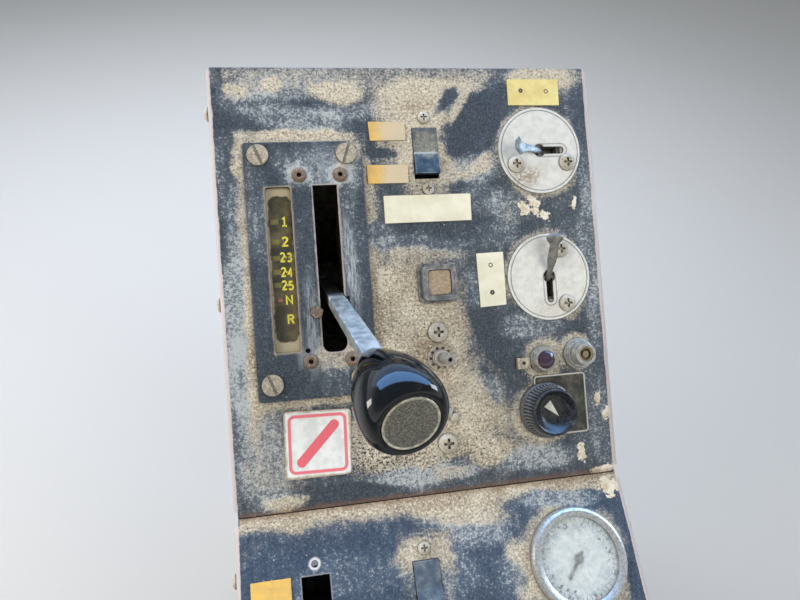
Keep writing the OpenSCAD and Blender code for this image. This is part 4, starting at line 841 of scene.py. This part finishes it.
def unit(vectors):
    """Vectors (..., n) scaled to a length of 1."""
    return vectors / np.linalg.norm(vectors, axis=-1, keepdims=True)


def turn_angles(around):
    """Angles of one turn in equal steps."""
    return np.linspace(0, 2 * np.pi, around, endpoint=False)


def squarish(around, power):
    """A superellipse's points as wide and tall: the cosine and sine of the angle, raised to a
    power with their signs kept."""
    a = turn_angles(around)
    return [np.sign(part) * np.abs(part) ** power for part in (np.cos(a), np.sin(a))]


def ringed(name, points, around, material, slot, **place):
    """A closed piece of stacked rings with as many points each as around says: quads between
    neighbouring rings, and a flat cap at each end."""
    points = np.reshape(points, (-1, 3))
    step = np.arange(around)
    ring = np.arange(0, len(points) - around, around)[:, None]
    low, beside = ring + step, ring + (step + 1) % around
    quads = np.stack([low, beside, beside + around, low + around], -1).reshape(-1, 4)
    caps = [step[::-1].tolist(), (step + len(points) - around).tolist()]
    return add_mesh(name, points, quads.tolist() + caps, material, slot, **place)


def rounded_outline(corners, radius, steps=5):
    """Outline of a polygon, anticlockwise, whose corners are quadratic curves: from radius before
    a corner to radius after it, with the corner as the control point."""
    corners = np.asarray(corners, float)
    start = (corners + radius * unit(np.roll(corners, 1, 0) - corners))[:, None]
    end = (corners + radius * unit(np.roll(corners, -1, 0) - corners))[:, None]
    t = np.linspace(0, 1, steps)[:, None]
    curve = (1 - t) ** 2 * start + 2 * t * (1 - t) * corners[:, None] + t ** 2 * end
    return curve.reshape(-1, 2)


def slab(name, corners, low, high, material, slot="label_laminate", radius=0.5, ease=0.15,
         **place):
    """A flat plate over a rounded outline: three rings, the top one drawn in by ease mm towards
    the middle."""
    outline = rounded_outline(corners, radius)
    middle = outline.mean(0)
    reach = np.linalg.norm(outline - middle, axis=1, keepdims=True)
    drawn = middle + (outline - middle) * (1 - ease / reach)
    levels = [(outline, low), (outline, high - ease), (drawn, high)]
    points = [np.column_stack([ring, np.full(len(ring), h)]) for ring, h in levels]
    return ringed(name, points, len(outline), material, slot, **place)


def box_corners(x, s, width, length):
    """Corners of a rectangle about (x, s), anticlockwise."""
    signs = np.array([(-1, -1), (1, -1), (1, 1), (-1, 1)])
    return (x, s) + signs * (width / 2, length / 2)


def revolved(profile, around=KNOB_STEPS):
    """Points of a half section (radius, height) turned about z: x = r cos a, y = r sin a."""
    a = turn_angles(around)
    r, z = np.asarray(profile, float).T[:, :, None]
    return np.stack([r * np.cos(a), r * np.sin(a), z + 0 * a], -1).reshape(-1, 3)


def turned(name, profile, middle, material, slot, around=64, **place):
    """A turned piece on a cover, about an axis square to it."""
    points = revolved(profile, around) + (*middle, 0)
    return ringed(name, points, around, material, slot, **place)


# Limit of a ribbon's mitre at a sharp corner
LEAST_COSINE = 0.55


def ribbon(line, width):
    """Flat strip along a line: its left and right edges are half a width from it, along the mean
    of the neighbouring segments' normals over that mean's cosine."""
    line = np.asarray(line, float)
    steps = unit(np.diff(line, axis=0))
    normals = np.column_stack([-steps[:, 1], steps[:, 0]])
    before, after = np.vstack([normals[:1], normals]), np.vstack([normals, normals[-1:]])
    mitre = unit(before + after)
    mitre /= np.maximum(np.sum(mitre * before, axis=1, keepdims=True), LEAST_COSINE)
    k = np.arange(len(line) - 1)
    faces = np.column_stack([k + len(line), k + len(line) + 1, k + 1, k])
    return np.vstack([line + mitre * width / 2, line - mitre * width / 2]), faces


def arc(x, y, radius, start, end, steps=9):
    """Points on a circle's arc between two angles in degrees."""
    a = np.radians(np.linspace(start, end, steps))
    return np.column_stack([x + radius * np.cos(a), y + radius * np.sin(a)]).tolist()


# Strokes of each numeral about its middle, 5.6 mm high
STROKES = {
    "1": [[(-1, 1.7), (0.2, 2.5), (0.2, -2.8)], [(-1.1, -2.5), (1.5, -2.5)]],
    "2": [arc(0, 1.35, 1.3, 165, -35) + [(-1.35, -2.5)], [(-1.7, -2.45), (1.6, -2.45)]],
    "3": [arc(-0.1, 1.25, 1.2, 150, -85) + arc(-0.1, -1.15, 1.4, 80, -150)],
    "4": [[(0.7, -2.8), (0.7, 2.4), (-1.3, -0.9), (1.5, -0.9)]],
    "5": [[(1.2, 2.4), (-0.9, 2.4), (-1.1, 0.3)] + arc(-0.1, -0.95, 1.5, 125, -150)],
    "N": [[(-1.5, -2.8), (-1.5, 2.4), (1.5, -2.4), (1.5, 2.8)]],
    "R": [[(-1.4, -2.8), (-1.4, 2.35)] + arc(0.2, 1.25, 1.15, 90, -90) + [(-1.4, 0.1)],
          [(0.0, 0.1), (1.5, -2.8)]],
    ".": [[(-0.35, 0), (0.35, 0)]],
}
# Numerals of the ranges on the index strip: sign, x, s and its width as a share
NUMERALS = [
    ("1", -84, 176.2, 1.1), ("2", -84.2, 163.9, 1.15), ("2", -86.3, 154.4, 0.85),
    (".", -84.3, 154.4, 1), ("3", -82.1, 154.2, 0.85), ("2", -86.3, 145.3, 0.85),
    (".", -84.3, 145.3, 1), ("4", -82.4, 145.1, 0.85), ("2", -86.3, 137.2, 0.85),
    (".", -84.3, 137.2, 1), ("5", -82.3, 136.9, 0.85), ("N", -83.9, 128.2, 1.1),
    ("R", -83.7, 116.4, 1.1),
]
NUMERAL_H = 0.05
STROKE_W = 1.05


def range_numerals():
    """Yellow painted numerals: a flat ribbon for each stroke."""
    ribbons = [ribbon(np.array(stroke) * (wide, 1) + (x, s), STROKE_W)
               for sign, x, s, wide in NUMERALS for stroke in STROKES[sign]]
    starts = np.cumsum([0] + [len(ring) for ring, _ in ribbons])
    flat = np.vstack([ring for ring, _ in ribbons])
    faces = np.vstack([quads + start for (_, quads), start in zip(ribbons, starts)])
    points = np.column_stack([flat, np.full(len(flat), NUMERAL_H)])
    add_mesh("range_numerals", points, faces.tolist(), numeral_paint, "label_laminate")


def lever_arm():
    """Flat bar from the bend up into the knob: a superellipse of power 1 / 8, so nearly a
    rectangle with eased corners, whose right face lies farther out as the bar rises."""
    left, right, widening, half_thick, foot = -4.8, 5.3, 2.3, 3.5, 3
    rise = np.linspace(0, 1, 24)[:, None]
    right = right + widening * rise
    wide, tall = squarish(64, 1 / 8)
    x = (left + right) / 2 + (right - left) / 2 * wide
    y = half_thick * tall + 0 * rise
    z = foot + (ARM_LEN + 1) * rise + 0 * wide
    ringed("lever_arm_bar", from_arm(np.stack([x, y, z], -1)), 64, lever_steel, "lever_steel",
           body="range_lever")


def pear_knob():
    """Pear-shaped knob: its radius swells from the neck as a quarter sine up to three quarters of
    its length, then falls as a superellipse to the rim round the medallion's seat. A shallow
    saddle, a bell curve along and round it, is pressed into the neck's upper right."""
    swell = 0.75
    u = np.concatenate([np.linspace(0, swell, 40, endpoint=False),
                        1 - (1 - swell) * np.linspace(1, 0, 40) ** 1.6])
    rise = np.sin(np.pi / 2 * np.minimum(1, u / swell))
    fall = 1 - np.sqrt(1 - np.clip((u - swell) / (1 - swell), 0, 1) ** 2.4)
    rim_r = MEDALLION_R + 1.6
    r = KNOB_NECK_R + (KNOB_R - KNOB_NECK_R) * rise - (KNOB_R - rim_r) * fall
    seat = [(MEDALLION_R + 0.5, KNOB_LEN), (MEDALLION_R + 0.15, KNOB_LEN - 0.8)]
    profile = np.vstack([np.column_stack([r, u * KNOB_LEN]), seat])
    points = revolved(profile)
    angle = np.arctan2(points[:, 1], points[:, 0])
    along = points[:, 2] / KNOB_LEN
    depth, facing, half_turn, middle, half_len = 0.13, math.radians(40), 0.55, 0.16, 0.12
    dip = np.exp(-((angle - facing) / half_turn) ** 2 - ((along - middle) / half_len) ** 2)
    points[:, :2] *= (1 - depth * dip)[:, None]
    points[:, 2] += ARM_LEN
    knob = ringed("pear_knob", from_arm(points), KNOB_STEPS, knob_phenolic, "knob_plastic",
                  body="range_lever", smooth=True)
    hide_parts("selector_knob")


def medallion():
    """Cast disc in the knob's face: a bright rounded rim round a sunken, pitted field."""
    r, top = MEDALLION_R, 0.5
    rim = [(r, -0.8), (r, top - 0.25), (r - 0.25, top), (r - 0.7, top), (r - 1.1, top - 0.35)]
    field = [(r - 1.0, top - 0.5), (r - 1.0, top - 0.3), (r - 2.5, top - 0.33)]
    for name, profile, material in (("medallion_rim", rim, rim_bright),
                                    ("medallion_field", field, medallion_cast)):
        points = from_arm(revolved(profile) + (0, 0, ARM_LEN + KNOB_LEN))
        face = ringed(name, points, KNOB_STEPS, material, "medallion_metal",
                      body="range_lever")
        if name == "medallion_rim":
            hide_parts("knob_medallion")


def swept(name, path, sections, across, material, slot, around=24, **place):
    """A closed piece along a path: each section is a superellipse (half width, half thickness,
    lift) that stands square to the path, its width along the across direction, its edges lifted
    with the square of the distance from the middle."""
    path, across = np.asarray(path, float), np.asarray(across, float)
    half, thick, lift = np.asarray(sections, float).T[:, :, None]
    up = np.cross(unit(np.gradient(path, axis=0)), across)
    wide, tall = squarish(around, 0.7)
    tall = thick * tall + lift * wide ** 2
    points = path[:, None] + (half * wide)[..., None] * across + tall[..., None] * up[:, None]
    return ringed(name, points, around, material, slot, smooth=True, **place)


def smooth_line(knots, steps):
    """Points evenly spaced in parameter along a curve through knots (any number of columns):
    each span is a cubic whose end slopes are half the chord of the neighbours."""
    knots = np.asarray(knots, float)
    slopes = np.gradient(knots, axis=0)
    t = np.linspace(0, len(knots) - 1, steps)
    k = np.minimum(t.astype(int), len(knots) - 2)
    u = (t - k)[:, None]
    near, far = knots[k], knots[k + 1]
    blend, leave, arrive = u ** 2 * (3 - 2 * u), u * (1 - u) ** 2, u ** 2 * (1 - u)
    return near + blend * (far - near) + leave * slopes[k] - arrive * slopes[k + 1]


# Valve levers along their own slot's line, away from the slot's open end:
# (run, height, half width, half thickness, edge lift)
AXLE_LEVER = [
    (-1.2, -4, 2.0, 2.2, 0), (0, -1.5, 2.0, 2.4, 0), (2.2, 1.2, 2.0, 1.5, 0),
    (4.4, 3.2, 2.3, 1.1, 0), (10, 6.3, 2.6, 1.0, 0), (15, 8.6, 3.4, 0.9, 0.4),
    (18.6, 10.6, 5.4, 0.8, 1.6), (21.2, 13.4, 5.8, 0.7, 2.2), (22.2, 15.6, 4.6, 0.6, 1.8),
    (22.4, 16.8, 2.4, 0.45, 0.6)]
BRAKE_LEVER = [
    (-1.2, -4, 2.0, 2.2, 0), (0, -1.5, 2.0, 2.4, 0), (2.2, 1.2, 1.6, 1.5, 0),
    (4.4, 3.4, 1.8, 1.1, 0), (10, 7.0, 3.2, 0.9, 0), (15.5, 10.2, 3.3, 0.9, 0),
    (19.8, 12.7, 3.2, 1.0, 0), (22.2, 14.1, 5.3, 1.6, -0.6), (24.3, 15.2, 5.6, 2.1, -0.8),
    (25.8, 16.0, 3.8, 1.4, -0.4)]


def valve_levers():
    """Two toggles: a hub in the keyhole, a flattened arm, and a paddle that is curled up on the
    axle valve's lever and rolled over on the brake valve's."""
    for valve, knots, (x, s), (i, j), material in (
            ("axle", AXLE_LEVER, AXLE_VALVE_AT, (-1, 0), toggle_steel),
            ("brake", BRAKE_LEVER, BRAKE_VALVE_AT, (0, 1), dull_steel)):
        line = smooth_line(knots, 48)
        path = (x, s, 0) + line[:, :1] * (i, j, 0) + line[:, 1:2] * (0, 0, 1)
        lever = swept(f"{valve}_lever_form", path, line[:, 2:], (-j, i, 0), material,
                      "lever_steel", body=f"{valve}_valve_toggle")
        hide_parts(f"{valve}_valve_lever")


# The rotary knob's foot over the cover, and its dish's floor over that foot
SKIRT_FOOT = 0.8
DISH_FLOOR = 9.1


def ribbed_knob():
    """Rotary knob: a flat skirt, a ribbed side, a thin bright rim and a dish whose floor lies off
    the middle. Ribs move the radius by a raised cosine of the angle; each ring of the dish moves
    towards the floor's middle."""
    # Radius, height, depth of the ribs, shift of the ring's middle up the slope
    profile = np.array([
        (6, 0, 0, 0), (17.6, 0, 0, 0), (18.2, 0.6, 0, 0), (18.0, 2.2, 0, 0), (17.2, 3.0, 0, 0),
        (16.4, 3.3, 0.1, 0), (16.3, 3.8, 1.0, 0), (15.9, 8.5, 1.1, 0), (15.4, 13.2, 1.0, 0),
        (15.0, 14.0, 0.1, 0), (14.7, 14.9, 0, 0), (14.2, 15.35, 0, 0), (13.7, 15.3, 0, 0),
        (13.2, 14.9, 0, 0.1), (12.2, 13.3, 0, 0.6), (10.6, 11.3, 0, 1.3), (9.0, 9.9, 0, 1.9),
        (7.9, 9.25, 0, 2.2), (7.0, DISH_FLOOR, 0, 2.3), (3.0, DISH_FLOOR, 0, 2.3)])
    around = RIBS * 6
    a = turn_angles(around)
    r, z, deep, shift = profile.T[:, :, None]
    r = r - deep * (0.5 + 0.5 * np.cos(RIBS * a)) ** 0.6
    x, s = ROTARY_AT
    points = np.stack([x + r * np.cos(a) + 0.2 * shift, s + r * np.sin(a) + shift,
                       z + SKIRT_FOOT + 0 * a], -1)
    knob = ringed("ribbed_knob", points, around, knob_nylon, "knob_plastic",
                  body="rotary_control", smooth=True)
    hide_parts("rotary_knob")


# Wire looms under the lower cover, dark pieces that give the painted shade seen through the
# missing switch's cut-out: places along each, in the lower cover's frame, and its radius
SHADE_LOOMS = [
    ([(-13, -53, -32), (-30, -45, -44), (-62, -40, -46), (-88, -38, -48), (-104, 0, -60)], 9.5),
    ([(-15, -60, -32), (-36, -62, -50), (-62, -55, -52), (-88, -53, -54), (-108, -20, -66)], 10.5),
    ([(80, -60, -40), (30, -72, -58), (-40, -72, -46), (-84, -70, -44), (-110, -40, -58)], 10.5),
]
# One wave's length and depth; the real corrugation is about as coarse
LOOM_WAVE = 3.4
LOOM_DEPTH = 0.9


def shade_looms():
    """Corrugated looms from the switch and the gauge to the left wall, under the cut-out of the
    missing switch: the radius swings by a cosine of the length, four rings to a wave. They are
    near black and stand for the painted shade inside the console, seen through that cut-out."""
    for number, (knots, radius) in enumerate(SHADE_LOOMS):
        length = np.sum(np.linalg.norm(np.diff(knots, axis=0), axis=1))
        path = smooth_line(knots, int(length / LOOM_WAVE) * 4)
        swing = radius - LOOM_DEPTH / 2 * (1 - np.cos(np.arange(len(path)) * np.pi / 2))
        sections = np.column_stack([swing, swing, 0 * swing])
        swept(f"shade_loom_{number}", path, sections, (0, 1, 0), shade_loom_black, "black_plastic", 16,
              slope=LOWER_SLOPE)


LABEL_T = 0.8
# Labels: name, corners on the cover from the lower left one anticlockwise, material
LABELS = [
    ("label_low", [(-27.3, 225.2), (-4.4, 225.2), (-4.1, 237.0), (-27.9, 237.4)], tape_amber),
    ("label_high", [(-30.5, 197.9), (-4.2, 197.7), (-4.0, 209.5), (-30.6, 209.8)], tape_amber),
    ("label_fast_idle", [(-21.3, 172.3), (35.6, 172.2), (36.0, 189.6), (-21.2, 189.9)],
     cream_laminate),
    ("label_axle", [(66.7, 247.2), (102.6, 246.9), (102.9, 264.6), (66.9, 264.6)],
     yellow_laminate),
    ("label_brake", [(37.3, 115.3), (54.9, 116.0), (55.2, 150.6), (36.9, 150.3)],
     cream_laminate),
]
# Printed dots on them: name, x, s, inner and outer radius
DOTS = [
    ("dot_axle_full", 76, 256.9, 0.3, 1.5), ("dot_axle_ring", 93.8, 256.4, 0.9, 1.5),
    ("dot_brake_ring", 46, 142.3, 0.9, 1.5), ("dot_brake_full", 45.8, 124.5, 0.3, 1.6),
]


def labels():
    """Engraved plates and embossed tapes, bare of words, with the dots some of them carry, and
    the square sticker."""
    plates = [slab(name, corners, 0, LABEL_T, material) for name, corners, material in LABELS]
    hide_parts("label_plates")
    slab("label_stop", box_corners(-105.5, -42.5, 23, 13), 0, LABEL_T, tape_amber,
         slope=LOWER_SLOPE)
    for name, x, s, inner, outer in DOTS:
        foot, top = LABEL_T - 0.1, LABEL_T + 0.03
        ring = [(outer, foot), (outer, top), (inner, top), (inner, foot)]
        turned(name, ring, (x, s), label_ink, "label_laminate", 32)
    slab("plain_sticker", STICKER, 0, 0.25, printed_vinyl("printed_vinyl"), radius=3, ease=0.08)


def small_marks():
    """The red mark by the ranges, the rotary knob's white pointer, and the screw with its clip."""
    slab("range_pointer", box_corners(-89.2, 128.2, 2.6, 1.7), 0, 0.12, pointer_red, ease=0.04)
    x, s = ROTARY_AT
    floor = SKIRT_FOOT + DISH_FLOOR
    slab("rotary_pointer", [(x - 5.4, s + 3.4), (x + 4.4, s - 3.6), (x - 0.8, s + 7.4)], floor,
         floor + 0.5, pointer_white, "dial_pointer", 0.4, body="rotary_control")
    head = [(3.0, 0.0), (3.0, 0.6), (2.4, 1.4), (1.2, 1.9), (0.2, 2.0)]
    turned("small_screw_head", head, (14.5, 46.5), screw_zinc, "zinc_screws", smooth=True)
    slab("clear_clip", [(8.6, 47.6), (12.4, 46.4), (14.2, 52.2), (10.4, 53.4)], 0, 1.6,
         clear_nylon, radius=1.2, ease=0.5)


range_numerals()
lever_arm()
pear_knob()
medallion()
valve_levers()
ribbed_knob()
shade_looms()
labels()
small_marks()


# Studio: pale floor, soft lamps, and the photograph's camera


@finish
def floor_paint():
    """Matt pale floor paint."""
    return {"Base Color": "#c9c7c2", "Roughness": 0.8}


# The studio is in metres
FLOOR_WIDTH = 12
# Lamps: name, place, aim, size, power, colour, and True if it lights matt surfaces alone or
# False if it shows in glossy ones alone
LAMPS = [
    ("window_sky", (-0.35, 1.05, 1.35), (0, 0, 0.5), (1.5, 0.7), 27, "#e6efff", True),
    ("left_window", (-1.3, -0.2, 1.2), (0, 0, 0.5), (0.8, 0.8), 14, "#fff4e6", True),
    ("room_fill", (0.9, -1.0, 1.7), (0, 0, 0.4), (1.4, 1.4), 16, "#fffaf2", True),
    ("windshield_glint", (0.15, 0.94, 1.44), (-0.03, 0.05, 0.45), (3.5, 0.85), 76, "#78aef0",
     False),
    ("right_glint", (1.14, 0.2, 0.85), (0, 0.05, 0.5), (0.45, 0.35), 6, "#dceafc", False),
    ("side_glint", (-1.25, 0.3, 0.6), (-0.03, 0.0, 0.6), (0.3, 0.32), 4, "#f3ede2", False),
    ("low_glint", (0.0, 1.4, 0.98), (-0.03, 0.0, 0.6), (3.2, 0.55), 15, "#5f86b5", False),
]


def sky():
    """Sky dome: pale at the horizon, greyer overhead, and a tenth weaker as light on matt
    surfaces than as it is seen."""
    place = node("TexCoord", out="Generated")
    rise = node("SeparateXYZ", (place,), out=2)
    climb = node("MapRange", (rise, 0.05, 0.45), **STEP)
    kinds = "Camera", "Glossy", "Transmission"
    rays = [node("LightPath", out=f"Is {kind} Ray") for kind in kinds]
    strength = total(0.9, *[(0.1, ray) for ray in rays])
    return node("Mix", {0: climb, 6: "#f2f4f6", 7: "#8d939a"}, **TINTS), strength


def studio():
    """A pale floor and soft area lamps under a pale sky. The glint lamps show in glossy surfaces
    as broad patches of daylight, most of all in the knob."""
    mesh = bpy.data.meshes.new("studio_floor")
    corners = [(x, y, 0) for x, y in box_corners(0, 0, FLOOR_WIDTH, FLOOR_WIDTH)]
    mesh.from_pydata(corners, [], [(0, 1, 2, 3)])
    mesh.materials.append(floor_paint("pale_floor_paint"))
    floor = placed("studio_floor", mesh)
    for name, place, aim, size, power, tint, matt in LAMPS:
        lamp = bpy.data.lights.new(name, "AREA")
        lamp.shape = "RECTANGLE"
        lamp.size, lamp.size_y = size
        lamp.energy = power
        lamp.color = linear(tint)[:3]
        holder = placed(name, lamp)
        holder.location = place
        holder.rotation_euler = (Vector(aim) - Vector(place)).to_track_quat("-Z", "Y").to_euler()
        holder.visible_diffuse = matt
        holder.visible_glossy = not matt
    world = bpy.data.worlds.new("pale_sky")
    bpy.context.scene.world = world
    start_tree(world)
    node("OutputWorld", (node("Background", sky()),))


# The photograph's camera, in the upper cover's frame
CAMERA_AT = (-88.75, 113.47, 384.60)
CAMERA_RIGHT = (0.9800, -0.0720, 0.1853)
CAMERA_DOWN = (-0.0659, -0.9971, -0.0388)
FOCAL_PIXELS = 620
PHOTO_WIDTH = 800


def photo_camera():
    """Camera at the photograph's viewpoint, with its focal length and no shift."""
    turn = turn_x(UPPER_SLOPE)
    right = unit(turn @ CAMERA_RIGHT)
    up = -(turn @ CAMERA_DOWN)
    up = unit(up - right * (up @ right))
    lens = bpy.data.cameras.new("photo_camera")
    lens.sensor_width = 36
    lens.lens = FOCAL_PIXELS / PHOTO_WIDTH * lens.sensor_width
    lens.clip_start = 0.02
    camera = placed("photo_camera", lens)
    place = np.eye(4)
    place[:3, :3] = np.column_stack([right, up, np.cross(right, up)])
    place[:3, 3] = to_row(CAMERA_AT)
    camera.matrix_world = Matrix(place.tolist())
    bpy.context.scene.camera = camera


studio()
photo_camera()
bpy.context.scene.view_settings.view_transform = "Standard"
